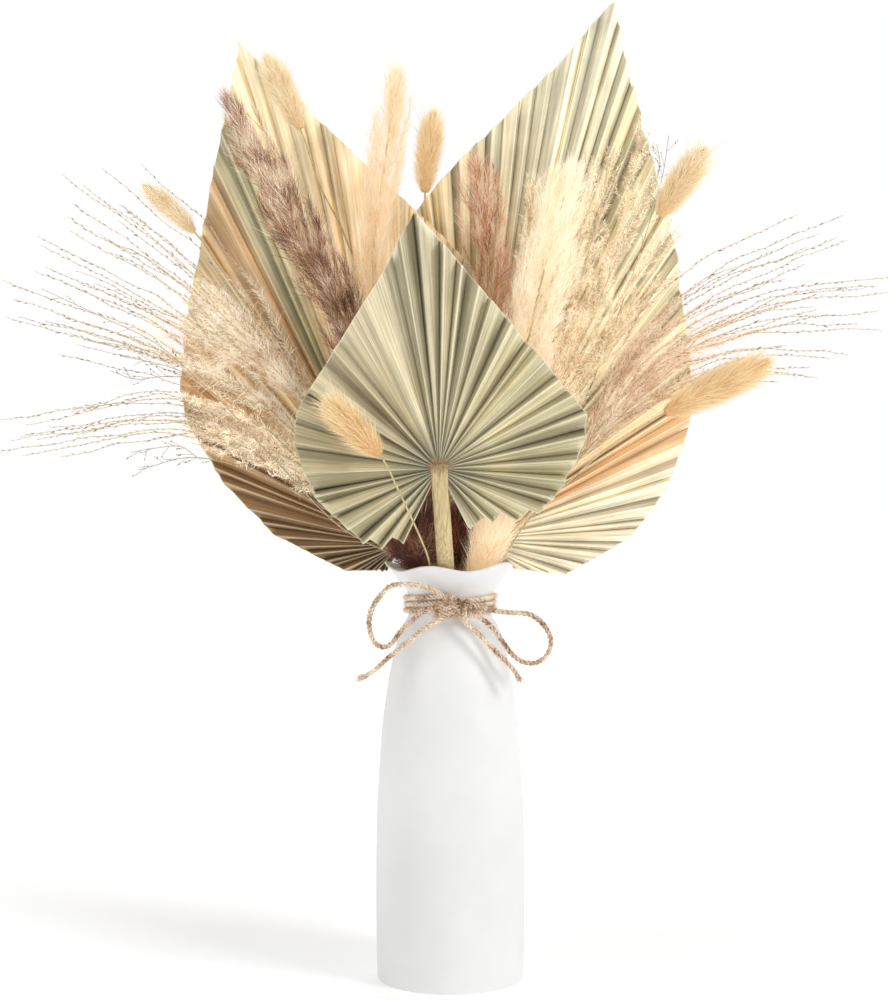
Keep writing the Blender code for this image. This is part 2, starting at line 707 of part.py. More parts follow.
# The open grasses: one stalk each, with side shoots that arch out and come to thin ends.
# Each shoot gives its root as a share of the stalk above the rim, then the points it passes.
GRASSES = {
    "silver_grass_left_upper": {
        "route": (
            (-17.4, 6.4, 199.0),
            (-38.0, 3.0, 229.0),
            (-60.0, 0.0, 262.0),
            (-82.0, -2.0, 290.0),
            (-104.0, -4.0, 312.0),
        ),
        "shoots": (
            (0.50, (-90.0, 2.0, 312.0), (-118.0, 6.0, 345.0), (-169.0, 12.0, 389.0), 3.4),
            (0.58, (-101.0, -9.0, 314.0), (-130.0, -14.0, 342.0), (-181.0, -22.0, 380.0), 3.6),
            (0.66, (-106.0, -2.0, 312.0), (-137.0, 2.0, 337.0), (-186.0, 14.0, 366.0), 3.4),
            (0.74, (-110.0, -12.0, 305.0), (-144.0, -20.0, 327.0), (-189.0, -34.0, 349.0), 3.4),
            (0.82, (-113.0, 3.0, 301.0), (-149.0, 8.0, 319.0), (-198.0, 18.0, 342.0), 3.2),
            (0.90, (-116.0, -10.0, 293.0), (-150.0, -16.0, 309.0), (-208.0, -24.0, 330.0), 3.2),
        ),
        "colour": (0.70, 0.55, 0.38),
    },
    "silver_grass_left_lower": {
        "route": (
            (-19.0, -2.2, 199.0),
            (-42.0, -6.0, 226.0),
            (-66.0, -9.0, 253.0),
            (-90.0, -11.0, 272.0),
            (-112.0, -12.0, 283.0),
        ),
        "shoots": (
            (0.52, (-92.0, -3.0, 279.0), (-125.0, -3.5, 293.0), (-192.0, -4.0, 313.0), 2.8),
            (0.62, (-98.0, -17.0, 280.0), (-134.0, -24.0, 294.0), (-204.0, -30.0, 312.0), 3.2),
            (0.46, (-95.0, -14.0, 262.0), (-134.0, -20.0, 275.0), (-196.0, -26.0, 263.0), 2.4),
            (0.40, (-96.0, -6.0, 256.0), (-134.0, 0.0, 267.0), (-212.0, 12.0, 257.0), 2.0),
            (0.34, (-94.0, -15.0, 248.0), (-132.0, -18.0, 261.0), (-214.0, -24.0, 250.0), 2.0),
        ),
        "colour": (0.68, 0.52, 0.35),
    },
    "silver_grass_right": {
        "route": (
            (18.8, -1.4, 199.0),
            (42.0, -4.0, 226.0),
            (67.0, -4.0, 253.0),
            (88.0, -3.0, 274.0),
            (108.0, -2.0, 290.0),
        ),
        "shoots": (
            (0.46, (84.0, 2.0, 297.0), (118.0, 8.0, 331.0), (180.0, 18.0, 358.0), 3.0),
            (0.52, (88.0, -10.0, 299.0), (123.0, -18.0, 328.0), (178.0, -32.0, 349.0), 3.0),
            (0.56, (93.0, 4.0, 299.0), (131.0, 12.0, 328.0), (197.0, 30.0, 357.0), 3.0),
            (0.62, (97.0, -11.0, 298.0), (140.0, -20.0, 322.0), (207.0, -34.0, 331.0), 3.2),
            (0.68, (101.0, 4.0, 297.0), (138.0, 12.0, 314.0), (181.0, 22.0, 329.0), 3.0),
            (0.74, (105.0, -12.0, 296.0), (152.0, -20.0, 320.0), (202.0, -30.0, 324.0), 3.2),
            (0.80, (108.0, 3.0, 295.0), (153.0, 8.0, 311.0), (186.0, 12.0, 318.0), 3.0),
            (0.86, (114.0, -8.0, 297.0), (155.0, -12.0, 308.0), (202.0, -16.0, 308.0), 3.0),
            (0.78, (112.0, 2.0, 286.0), (142.0, 6.0, 296.0), (183.0, 10.0, 297.0), 2.6),
            (0.66, (104.0, -4.0, 278.0), (131.0, -4.0, 290.0), (170.0, -5.0, 291.0), 2.6),
        ),
        "colour": (0.74, 0.56, 0.42),
    },
    "curly_grass_left": {
        "route": (
            (-14.6, 0.6, 199.0),
            (-40.0, -18.0, 221.0),
            (-68.0, -24.0, 243.0),
            (-96.0, -26.0, 256.0),
            (-122.0, -26.0, 262.0),
        ),
        "shoots": (
            (0.55, (-86.0, -22.0, 261.0), (-104.0, -23.0, 272.0), (-126.0, -25.0, 276.0), 2.4),
            (0.40, (-78.0, -27.0, 240.0), (-96.0, -28.0, 248.0), (-118.0, -29.0, 254.0), 2.2),
        ),
        "colour": (0.66, 0.50, 0.34),
    },
    "curly_grass_right": {
        "route": (
            (12.6, 5.6, 199.0),
            (30.0, 6.0, 238.0),
            (47.0, 7.0, 278.0),
            (61.0, 8.0, 324.0),
            (71.0, 10.0, 362.0),
            (78.0, 12.0, 394.0),
        ),
        "shoots": (
            (0.36, (56.0, 3.0, 314.0), (62.0, 4.0, 350.0), (68.0, 5.0, 386.0), 3.4),
            (0.42, (68.0, 14.0, 322.0), (82.0, 17.0, 362.0), (95.0, 18.0, 406.0), 3.2),
            (0.34, (66.0, 2.0, 310.0), (80.0, 0.0, 344.0), (96.0, -4.0, 375.0), 3.4),
            (0.28, (66.0, 4.0, 296.0), (84.0, 4.0, 328.0), (106.0, 2.0, 354.0), 3.2),
            (0.22, (62.0, 8.0, 282.0), (82.0, 10.0, 312.0), (105.0, 12.0, 336.0), 3.0),
        ),
        "colour": (0.66, 0.50, 0.33),
    },
    "curly_grass_middle": {
        "route": (
            (12.4, 12.4, 200.0),
            (24.0, 14.0, 238.0),
            (33.0, 15.0, 278.0),
            (36.0, 14.0, 324.0),
            (40.0, 12.0, 381.0),
        ),
        "shoots": (
            (0.45, (36.0, 16.0, 306.0), (44.0, 17.0, 336.0), (52.0, 18.0, 372.0), 2.6),
        ),
        "colour": (0.58, 0.42, 0.28),
    },
    "seed_twig_left": {
        "route": (
            (-22.0, 2.0, 199.0),
            (-52.0, -20.0, 216.0),
            (-84.0, -36.0, 250.0),
            (-118.0, -34.0, 284.0),
            (-153.0, -36.0, 295.0),
        ),
        "shoots": (
            (0.72, (-134.0, -38.0, 299.0), (-160.0, -42.0, 312.0), (-186.0, -46.0, 324.0), 0.5),
            (0.80, (-134.0, -31.0, 285.0), (-146.0, -29.0, 284.0), (-158.0, -27.0, 288.0), 0.5),
        ),
        "colour": (0.40, 0.34, 0.26),
    },
    "seed_twig_low": {
        "route": (
            (-21.4, -8.2, 199.0),
            (-54.0, -14.0, 221.0),
            (-90.0, -17.0, 240.0),
            (-120.0, -19.0, 248.0),
            (-146.0, -21.0, 242.0),
        ),
        "shoots": (
            (0.80, (-126.0, -24.0, 253.0), (-138.0, -27.0, 252.0), (-148.0, -30.0, 250.0), 0.5),
        ),
        "colour": (0.40, 0.34, 0.26),
    },
    "seed_twig_right": {
        "route": (
            (21.3, 6.2, 199.0),
            (44.0, 18.0, 230.0),
            (72.0, 25.0, 290.0),
            (92.0, 26.0, 345.0),
            (104.0, 25.0, 384.0),
            (108.0, 24.0, 408.0),
        ),
        "shoots": (
            (0.84, (100.0, 22.0, 380.0), (103.0, 19.0, 392.0), (101.0, 16.0, 402.0), 0.5),
        ),
        "colour": (0.40, 0.34, 0.26),
    },
}
GRASS_STALK = 1.2
TWIG_STALK = 0.6
SHOOT_TIP = 0.45
SHOOT_SOFT = ((0.0, 0.35), (0.12, 0.8), (0.3, 1.0), (0.5, 0.7), (0.66, 0.3), (1.0, 0.12))


def build_grass(name):
    shape = GRASSES[name]
    stalk = TWIG_STALK if name.startswith("seed") else GRASS_STALK
    path = smooth_route([*up_the_vase(name), *shape["route"]], STEM_STEP)
    last = len(path) - 1
    mouth = min(i for i, point in enumerate(path) if point.z > RIM_HEIGHT)
    radii = [mix(stalk, SHOOT_TIP, ease(i, mouth, last)) for i in range(last + 1)]
    finish = material(name, shape["colour"], 0.95)
    bm = bmesh.new()
    sweep(bm, path, radii, STEM_SIDES)
    body = add_object(name, bm, finish)

    bm = bmesh.new()
    for root, *points, soft in shape["shoots"]:
        place = mix(mouth, last, root)
        below = int(place)
        start = mix(path[below], path[below + 1], place - below)
        route = smooth_route([start, *points], SHOOT_STEP)
        end = len(route) - 1
        radii = [max(soft * along(SHOOT_SOFT, i / end), SHOOT_TIP) for i in range(end + 1)]
        radii[0] = SHOOT_TIP
        sweep(bm, route, radii, STEM_SIDES)
    join_to(body, add_object(name + "_shoots", bm, finish, guide=True))


def main():
    clear_scene()
    build_vase()
    build_twine()
    for name in LEAVES:
        build_leaf(name)
    for name in HEADS:
        build_head(name)
    for name in GRASSES:
        build_grass(name)


main()
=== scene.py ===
"""Looks for a white vase of dried palm leaves, plumes and grasses, tied with a jute bow."""

import math
import random

import bmesh
import bpy
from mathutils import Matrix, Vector, noise


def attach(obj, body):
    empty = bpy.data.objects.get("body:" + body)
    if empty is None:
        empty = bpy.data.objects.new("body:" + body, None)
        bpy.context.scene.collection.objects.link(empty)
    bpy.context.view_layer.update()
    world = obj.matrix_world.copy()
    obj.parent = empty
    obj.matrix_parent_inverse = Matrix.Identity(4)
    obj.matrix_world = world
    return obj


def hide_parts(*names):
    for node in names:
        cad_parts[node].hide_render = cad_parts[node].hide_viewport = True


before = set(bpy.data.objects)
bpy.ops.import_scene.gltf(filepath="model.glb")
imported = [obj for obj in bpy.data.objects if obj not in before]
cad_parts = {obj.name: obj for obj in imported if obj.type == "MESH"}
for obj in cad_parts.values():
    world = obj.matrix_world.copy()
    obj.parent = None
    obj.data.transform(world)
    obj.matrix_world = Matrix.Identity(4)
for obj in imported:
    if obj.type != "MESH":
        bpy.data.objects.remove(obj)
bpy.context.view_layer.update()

MM = 0.001

# The camera stands level with the middle of the arrangement, 850 mm in front of its axis.
CAMERA_DISTANCE = 0.85
CAMERA_HEIGHT = 0.228
CAMERA_SIDE = -0.003
LENS = 63.75

camera_data = bpy.data.cameras.new("camera")
camera_data.lens = LENS
camera_data.sensor_width = 36
camera_data.clip_start = 0.05
camera = bpy.data.objects.new("camera", camera_data)
camera.location = (CAMERA_SIDE, -CAMERA_DISTANCE, CAMERA_HEIGHT)
camera.rotation_euler = (math.radians(90), 0, 0)
bpy.context.scene.collection.objects.link(camera)
bpy.context.scene.camera = camera
bpy.context.scene.view_settings.view_transform = "Standard"


# The bow is three-ply jute twine. It goes three times round the neck and is tied in front with
# two loops and two loose tails, whose cut ends are frayed.
TWINE = 2.6
PLIES = 3
TWIST_LENGTH = 7.2
TWINE_STEP = 0.6
NECK_HEIGHT = 177.0
WRAP_TURNS = 3
WRAP_PITCH = 3.0
WRAP_LIFT = 1.6
WRAP_TILT = 1.2
TOUCH = 0.3
LOOP_LEFT = (
    (-1.9, -26.8, 181.7),
    (-6.3, -27.6, 185.2),
    (-13.2, -28.2, 188.0),
    (-20.7, -28.0, 188.9),
    (-27.7, -27.4, 188.0),
    (-32.8, -26.6, 183.3),
    (-36.5, -26.0, 177.3),
    (-37.9, -25.6, 171.2),
    (-37.0, -25.6, 165.2),
    (-34.6, -26.0, 161.0),
    (-30.5, -26.6, 159.6),
    (-26.7, -27.2, 161.9),
    (-23.9, -27.7, 166.1),
    (-18.8, -28.4, 171.2),
    (-13.2, -28.6, 175.8),
    (-7.6, -28.0, 178.2),
    (-3.5, -27.1, 178.6),
)
LOOP_RIGHT = (
    (9.0, -26.6, 179.4),
    (12.3, -27.0, 178.7),
    (19.3, -27.6, 176.9),
    (25.9, -27.8, 175.9),
    (31.0, -27.6, 175.4),
    (36.6, -27.2, 174.9),
    (41.7, -26.6, 171.7),
    (45.0, -26.2, 167.5),
    (46.8, -26.0, 162.4),
    (45.9, -26.0, 157.7),
    (43.1, -26.2, 154.0),
    (38.9, -26.6, 152.1),
    (32.8, -27.2, 153.1),
    (28.2, -27.6, 156.8),
    (24.5, -27.8, 161.9),
    (20.7, -27.8, 167.1),
    (16.4, -27.4, 171.6),
    (12.0, -27.0, 174.0),
    (8.4, -26.5, 175.3),
)
TAIL_LEFT = (
    (-1.3, -28.2, 174.7),
    (-5.6, -29.6, 172.2),
    (-12.0, -30.4, 168.6),
    (-17.6, -30.4, 164.0),
    (-23.6, -30.2, 159.2),
    (-29.2, -30.0, 154.6),
    (-34.6, -29.8, 149.6),
    (-38.6, -29.6, 146.8),
    (-42.0, -29.4, 145.4),
)
TAIL_RIGHT = (
    (5.0, -28.1, 173.9),
    (8.6, -29.6, 169.8),
    (14.6, -30.4, 164.4),
    (19.2, -30.4, 159.4),
    (24.0, -30.2, 155.0),
    (27.8, -30.0, 151.2),
    (30.4, -29.8, 147.4),
    (32.2, -29.6, 144.6),
)
KNOT_STRANDS = (
    ((-7.5, -24.6, 173.6), (-3.4, -28.6, 175.0), (3.2, -30.0, 176.6), (8.6, -25.4, 179.6)),
    ((-6.8, -25.0, 176.6), (-2.2, -29.0, 177.7), (4.2, -29.2, 179.2), (8.8, -25.0, 181.4)),
    ((0.4, -25.6, 183.0), (3.6, -29.4, 181.4), (6.2, -30.2, 177.8), (6.4, -27.4, 173.4)),
)


def smooth_route(points, step):
    """Points about a step apart on a smooth curve through the given ones, in millimetres."""
    points = [Vector(p) for p in points]
    ends = [2 * points[0] - points[1], *points, 2 * points[-1] - points[-2]]
    fine = []
    for a, b, c, d in zip(ends, ends[1:], ends[2:], ends[3:]):
        for i in range(16):
            t = i / 16
            bend = 2 * a - 5 * b + 4 * c - d
            turn = 3 * b - a - 3 * c + d
            fine.append(0.5 * (2 * b + (c - a) * t + bend * t * t + turn * t * t * t))
    fine.append(points[-1])
    lengths = [0.0]
    for a, b in zip(fine, fine[1:]):
        lengths.append(lengths[-1] + (b - a).length)
    count = max(2, round(lengths[-1] / step))
    route = []
    span = 0
    for i in range(count + 1):
        goal = lengths[-1] * i / count
        while span < len(lengths) - 2 and lengths[span + 1] < goal:
            span += 1
        share = (goal - lengths[span]) / (lengths[span + 1] - lengths[span])
        route.append(fine[span].lerp(fine[span + 1], share))
    return route


def wire(tree, kind, inputs=None, **settings):
    """A new node of a tree, with values or other nodes' sockets put into its inputs."""
    made = tree.nodes.new(kind)
    for name, value in settings.items():
        setattr(made, name, value)
    for key, value in (inputs or {}).items():
        if isinstance(value, bpy.types.NodeSocket):
            tree.links.new(value, made.inputs[key])
        else:
            made.inputs[key].default_value = value
    return made


def reckon(tree, operation, a, b=0.0):
    return wire(tree, "ShaderNodeMath", {0: a, 1: b}, operation=operation).outputs[0]


def chance(tree, low, high, seed):
    """A random number for each point."""
    inputs = {2: low, 3: high, "Seed": seed}
    return wire(tree, "FunctionNodeRandomValue", inputs, data_type="FLOAT").outputs[1]


def stored(tree, geometry, name, value, domain="POINT"):
    inputs = {"Geometry": geometry, "Name": name, "Value": value}
    settings = {"data_type": "FLOAT", "domain": domain}
    return wire(tree, "GeometryNodeStoreNamedAttribute", inputs, **settings).outputs[0]


def new_tree(name, inputs):
    """A geometry tree, and the sockets of its named inputs."""
    tree = bpy.data.node_groups.new(name, "GeometryNodeTree")
    tree.interface.new_socket("Geometry", in_out="OUTPUT", socket_type="NodeSocketGeometry")
    for label, kind in {"Geometry": "Geometry", **inputs}.items():
        tree.interface.new_socket(label, in_out="INPUT", socket_type="NodeSocket" + kind)
    return tree, tree.nodes.new("NodeGroupInput").outputs


def close_tree(tree, geometry, finish):
    """Ends a tree with real meshes in their material."""
    real = wire(tree, "GeometryNodeRealizeInstances", {"Geometry": geometry}).outputs[0]
    inputs = {"Geometry": real, "Material": finish}
    painted = wire(tree, "GeometryNodeSetMaterial", inputs).outputs[0]
    wire(tree, "NodeGroupOutput", {0: painted})


def line_object(name, lines, **marks):
    """An object that is only lines of points. Each line is its points, half-widths and radii.

    A mark is a number for each line, which all that grows on the line carries too.
    """
    points = []
    edges = []
    widths = []
    radii = []
    places = []
    for route, swell, thick in lines:
        first = len(points)
        points.extend(p * MM for p in route)
        widths.extend(w * MM for w in swell)
        radii.extend(r * MM for r in thick)
        places.extend(i / (len(route) - 1) for i in range(len(route)))
        edges.extend((i, i + 1) for i in range(first, first + len(route) - 1))
    mesh = bpy.data.meshes.new(name)
    mesh.from_pydata(points, edges, [])
    carried = {"swell": widths, "thick": radii, "place": places}
    for label, values in marks.items():
        carried[label] = []
        for (route, _, _), value in zip(lines, values):
            carried[label].extend([value] * len(route))
    for label, values in carried.items():
        mesh.attributes.new(label, "FLOAT", "POINT").data.foreach_set("value", values)
    made = bpy.data.objects.new(name, mesh)
    bpy.context.scene.collection.objects.link(made)
    return made


def grow(piece, tree, values):
    """Runs a tree on a piece, and keeps what it makes as a plain mesh."""
    sockets = {}
    for item in tree.interface.items_tree:
        if item.in_out == "INPUT":
            sockets[item.name] = item.identifier
    modifier = piece.modifiers.new(tree.name, "NODES")
    modifier.node_group = tree
    for label, value in values.items():
        modifier[sockets[label]] = value
    graph = bpy.context.evaluated_depsgraph_get()
    mesh = bpy.data.meshes.new_from_object(piece.evaluated_get(graph))
    piece.modifiers.clear()
    piece.data = mesh
    return piece


def settle(piece, slot, *nodes):
    """The piece moves with the one body, and stands for the nodes it is named with."""
    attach(piece, "root")
    if nodes:
        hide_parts(*nodes)
    return piece


def twine_tree():
    """Plies laid round a line: their circles turn as they are swept along it."""
    inputs = {
        "Thickness": "Float",
        "Plies": "Int",
        "Twist Length": "Float",
        "Step": "Float",
        "Material": "Material",
    }
    tree, given = new_tree("laid twine", inputs)
    curve = wire(tree, "GeometryNodeMeshToCurve", {"Mesh": given["Geometry"]}).outputs[0]
    settings = {"Curve": curve, "Length": given["Step"]}
    curve = wire(tree, "GeometryNodeResampleCurve", settings, mode="LENGTH").outputs[0]
    length = wire(tree, "GeometryNodeSplineParameter").outputs["Length"]
    turns = reckon(tree, "DIVIDE", length, given["Twist Length"])
    tilt = reckon(tree, "MULTIPLY", turns, math.tau)
    curve = wire(tree, "GeometryNodeSetCurveTilt", {"Curve": curve, "Tilt": tilt}).outputs[0]
    curve = stored(tree, curve, "along", length)
    ply_radius = reckon(tree, "MULTIPLY", given["Thickness"], 0.238)
    ring_radius = reckon(tree, "MULTIPLY", given["Thickness"], 0.262)
    circle = {"Resolution": 8, "Radius": ply_radius}
    ply = wire(tree, "GeometryNodeCurvePrimitiveCircle", circle).outputs[0]
    ply = stored(tree, ply, "round", wire(tree, "GeometryNodeSplineParameter").outputs["Factor"])
    circle = {"Vertices": given["Plies"], "Radius": ring_radius}
    ring = wire(tree, "GeometryNodeMeshCircle", circle).outputs[0]
    settings = {"Points": ring, "Instance": ply}
    plies = wire(tree, "GeometryNodeInstanceOnPoints", settings).outputs[0]
    plies = wire(tree, "GeometryNodeRealizeInstances", {"Geometry": plies}).outputs[0]
    settings = {"Curve": curve, "Profile Curve": plies, "Fill Caps": True}
    mesh = wire(tree, "GeometryNodeCurveToMesh", settings).outputs[0]
    close_tree(tree, mesh, given["Material"])
    return tree


def fuzz_tree():
    """Loose fibres that stand up all over a surface."""
    inputs = {
        "Fibres": "Collection",
        "Density": "Float",
        "Length": "Float",
        "Lean": "Float",
        "Seed": "Int",
        "Material": "Material",
    }
    tree, given = new_tree("loose fibres", inputs)
    settings = {"Mesh": given["Geometry"], "Density": given["Density"], "Seed": given["Seed"]}
    spread = wire(tree, "GeometryNodeDistributePointsOnFaces", settings)
    points = stored(tree, spread.outputs["Points"], "tone", chance(tree, 0.0, 1.0, 7))
    stray = wire(tree, "FunctionNodeRandomValue", {0: (-1, -1, -1), 1: (1, 1, 1), "Seed": 3})
    stray.data_type = "FLOAT_VECTOR"
    settings = {0: stray.outputs[0], "Scale": given["Lean"]}
    stray = wire(tree, "ShaderNodeVectorMath", settings, operation="SCALE").outputs[0]
    settings = {0: spread.outputs["Normal"], 1: stray}
    lean = wire(tree, "ShaderNodeVectorMath", settings, operation="ADD").outputs[0]
    settings = {"Vector": lean}
    aim = wire(tree, "FunctionNodeAlignRotationToVector", settings, axis="Z").outputs[0]
    kit = {"Collection": given["Fibres"], "Separate Children": True, "Reset Children": True}
    kit = wire(tree, "GeometryNodeCollectionInfo", kit).outputs[0]
    size = reckon(tree, "MULTIPLY", given["Length"], chance(tree, 0.35, 1.0, 11))
    settings = {
        "Points": points,
        "Instance": kit,
        "Pick Instance": True,
        "Rotation": aim,
        "Scale": size,
    }
    fibres = wire(tree, "GeometryNodeInstanceOnPoints", settings).outputs[0]
    close_tree(tree, fibres, given["Material"])
    return tree


def fibre_kit(name, width, bends, spans=3):
    """A collection of single fibres, 1 long and coming to a point, each bent its own way.

    A bend is how far the tip leans over, and how far the fibre curls back beyond that.
    """
    kit = bpy.data.collections.new(name)
    for number, (lean, curl) in enumerate(bends):
        mesh = bpy.data.meshes.new(f"{name}_{number}")
        points = []
        faces = []
        along = []
        for i in range(spans + 1):
            t = i / spans
            x = lean * t * t
            y = curl * math.sin(math.pi * t)
            half = 0.5 * width * (1.0 - 0.75 * t)
            if i < spans:
                points.extend(((x - half, y, t), (x + half, y, t)))
                along.extend((t, t))
            else:
                points.append((x, y, t))
                along.append(t)
        for i in range(spans - 1):
            faces.append((2 * i, 2 * i + 1, 2 * i + 3, 2 * i + 2))
        last = 2 * spans - 2
        faces.append((last, last + 1, last + 2))
        mesh.from_pydata(points, [], faces)
        mesh.attributes.new("along", "FLOAT", "POINT").data.foreach_set("value", along)
        kit.objects.link(bpy.data.objects.new(f"{name}_{number}", mesh))
    return kit


def blank_material(name, roughness):
    """A material's tree and its surface, ready for its colour nodes."""
    made = bpy.data.materials.new(name)
    made.use_nodes = True
    surface = made.node_tree.nodes["Principled BSDF"]
    surface.inputs["Roughness"].default_value = roughness
    return made, made.node_tree, surface


def reading(tree, name):
    """A number that the mesh carries under this name."""
    return wire(tree, "ShaderNodeAttribute", attribute_name=name).outputs["Fac"]


def ramp(tree, value, stops, smooth=True):
    """A colour that changes with a value, through (position, colour) stops."""
    made = wire(tree, "ShaderNodeValToRGB", {"Fac": value})
    made.color_ramp.interpolation = "EASE" if smooth else "LINEAR"
    elements = made.color_ramp.elements
    while len(elements) < len(stops):
        elements.new(0.5)
    for element, (position, colour) in zip(elements, stops):
        element.position = position
        element.color = (*colour, 1.0)
    return made.outputs["Color"]


def jute_material():
    made, tree, surface = blank_material("jute", 0.9)
    spot = wire(tree, "ShaderNodeTexCoord").outputs["Object"]
    grain = wire(tree, "ShaderNodeTexNoise", {"Vector": spot, "Scale": 1100.0, "Detail": 4.0})
    broad = wire(tree, "ShaderNodeTexNoise", {"Vector": spot, "Scale": 120.0, "Detail": 2.0})
    mixed = reckon(tree, "ADD", grain.outputs["Fac"], broad.outputs["Fac"])
    mixed = reckon(tree, "MULTIPLY", mixed, 0.5)
    stops = (
        (0.38, (0.22, 0.12, 0.06)),
        (0.46, (0.58, 0.40, 0.26)),
        (0.53, (0.84, 0.66, 0.50)),
        (0.62, (0.97, 0.88, 0.74)),
    )
    tree.links.new(ramp(tree, mixed, stops), surface.inputs["Base Color"])
    settings = {"Height": grain.outputs["Fac"], "Strength": 0.6, "Distance": 0.0004}
    bump = wire(tree, "ShaderNodeBump", settings)
    tree.links.new(bump.outputs[0], surface.inputs["Normal"])
    return made


jute = jute_material()
laid_twine = twine_tree()
loose_fibres = fuzz_tree()


def lay_twine(name, routes):
    """A piece of twine along each route."""
    lines = []
    for route in routes:
        points = smooth_route(route, TWINE / 2)
        lines.append((points, [0.0] * len(points), [0.0] * len(points)))
    values = {
        "Thickness": TWINE * MM,
        "Plies": PLIES,
        "Twist Length": TWIST_LENGTH * MM,
        "Step": TWINE_STEP * MM,
        "Material": jute,
    }
    return grow(line_object(name, lines), laid_twine, values)


def tie_cord(name, route):
    """One free end or loop of the bow."""
    piece = settle(lay_twine(name, [route]), "jute", "bow_" + name)
    return piece


bow = [
    tie_cord("loop_left", LOOP_LEFT),
    tie_cord("loop_right", LOOP_RIGHT),
    tie_cord("tail_left", TAIL_LEFT),
    tie_cord("tail_right", TAIL_RIGHT),
]


def wind_route():
    """Three turns that follow the neck, from the back left round to the knot."""
    points = []
    steps = 24 * WRAP_TURNS
    start = NECK_HEIGHT - WRAP_TURNS * WRAP_PITCH / 2
    for i in range(steps + 1):
        turn = WRAP_TURNS * i / steps
        angle = math.tau * turn
        z = start + WRAP_PITCH * turn + WRAP_LIFT + WRAP_TILT * math.sin(angle)
        radius = wrap_radius(z) + TOUCH + TWINE / 2
        points.append((radius * math.sin(angle), -radius * math.cos(angle), z))
    return points


def wrap_radius(z):
    """The neck's outer radius, which the twine lies on."""
    knots = ((172.0, 20.4), (177.0, 19.3), (182.0, 19.8), (186.0, 21.9))
    for (low, a), (high, b) in zip(knots, knots[1:]):
        if z <= high:
            return a + (b - a) * max(z - low, 0.0) / (high - low)
    return knots[-1][1]


wrap = settle(lay_twine("twine_wrap_turns", [wind_route()]), "jute", "twine_wrap")
knot = settle(lay_twine("bow_knot_strands", KNOT_STRANDS), "jute", "bow_knot")

# Fine fibres stand out all along the twine, and fan out where the tails are cut.
FUZZ_LENGTH = 3.0
FUZZ_DENSITY = 1.2e6
FRAY_FIBRES = 70
FRAY_LENGTH = 3.6
fuzz_fibres = fibre_kit("jute_fibre", 0.03, ((0.25, 0.1), (-0.35, 0.05), (0.1, -0.3)))


def joined_copy(name, pieces):
    """One mesh of all these pieces, as a ground for what grows on them."""
    bm = bmesh.new()
    for piece in pieces:
        bm.from_mesh(piece.data)
    mesh = bpy.data.meshes.new(name)
    bm.to_mesh(mesh)
    bm.free()
    made = bpy.data.objects.new(name, mesh)
    bpy.context.scene.collection.objects.link(made)
    return made


values = {
    "Fibres": fuzz_fibres,
    "Density": FUZZ_DENSITY,
    "Length": FUZZ_LENGTH * MM,
    "Lean": 0.8,
    "Seed": 4,
    "Material": jute,
}
settle(grow(joined_copy("twine_fuzz", [*bow, wrap, knot]), loose_fibres, values), "jute")


def stalk_tree():
    """A closed tube along every line, as thick as the line says at each point."""
    inputs = {"Sides": "Int", "Material": "Material"}
    tree, given = new_tree("stalks", inputs)
    curve = wire(tree, "GeometryNodeMeshToCurve", {"Mesh": given["Geometry"]}).outputs[0]
    settings = {"Resolution": given["Sides"], "Radius": 1.0}
    circle = wire(tree, "GeometryNodeCurvePrimitiveCircle", settings).outputs[0]
    thick = wire(tree, "GeometryNodeInputNamedAttribute", {"Name": "thick"}, data_type="FLOAT")
    settings = {"Curve": curve, "Profile Curve": circle, "Scale": thick.outputs[0]}
    settings["Fill Caps"] = True
    tubes = wire(tree, "GeometryNodeCurveToMesh", settings).outputs[0]
    close_tree(tree, tubes, given["Material"])
    return tree


bare_stalk = stalk_tree()


def fray(name, route, seed):
    """The cut end of a tail, where the plies open into loose fibres."""
    chooser = random.Random(seed)
    end = Vector(route[-1])
    ahead = (end - Vector(route[-2])).normalized()
    lines = []
    for _ in range(FRAY_FIBRES):
        stray = Vector(chooser.uniform(-1, 1) for _ in range(3))
        root = end - ahead * chooser.uniform(1.0, 4.0) + stray * 0.45
        reach = FRAY_LENGTH * chooser.uniform(0.45, 1.0)
        middle = root + ahead * reach * 0.5 + stray * 0.5
        tip = root + ahead * reach + stray * 1.9
        lines.append(([root, middle, tip], [0.0] * 3, [0.11, 0.09, 0.05]))
    return grow(line_object(name, lines), bare_stalk, {"Material": jute, "Sides": 3})


settle(fray("tail_left_fray", TAIL_LEFT, 1), "jute")
settle(fray("tail_right_fray", TAIL_RIGHT, 2), "jute")


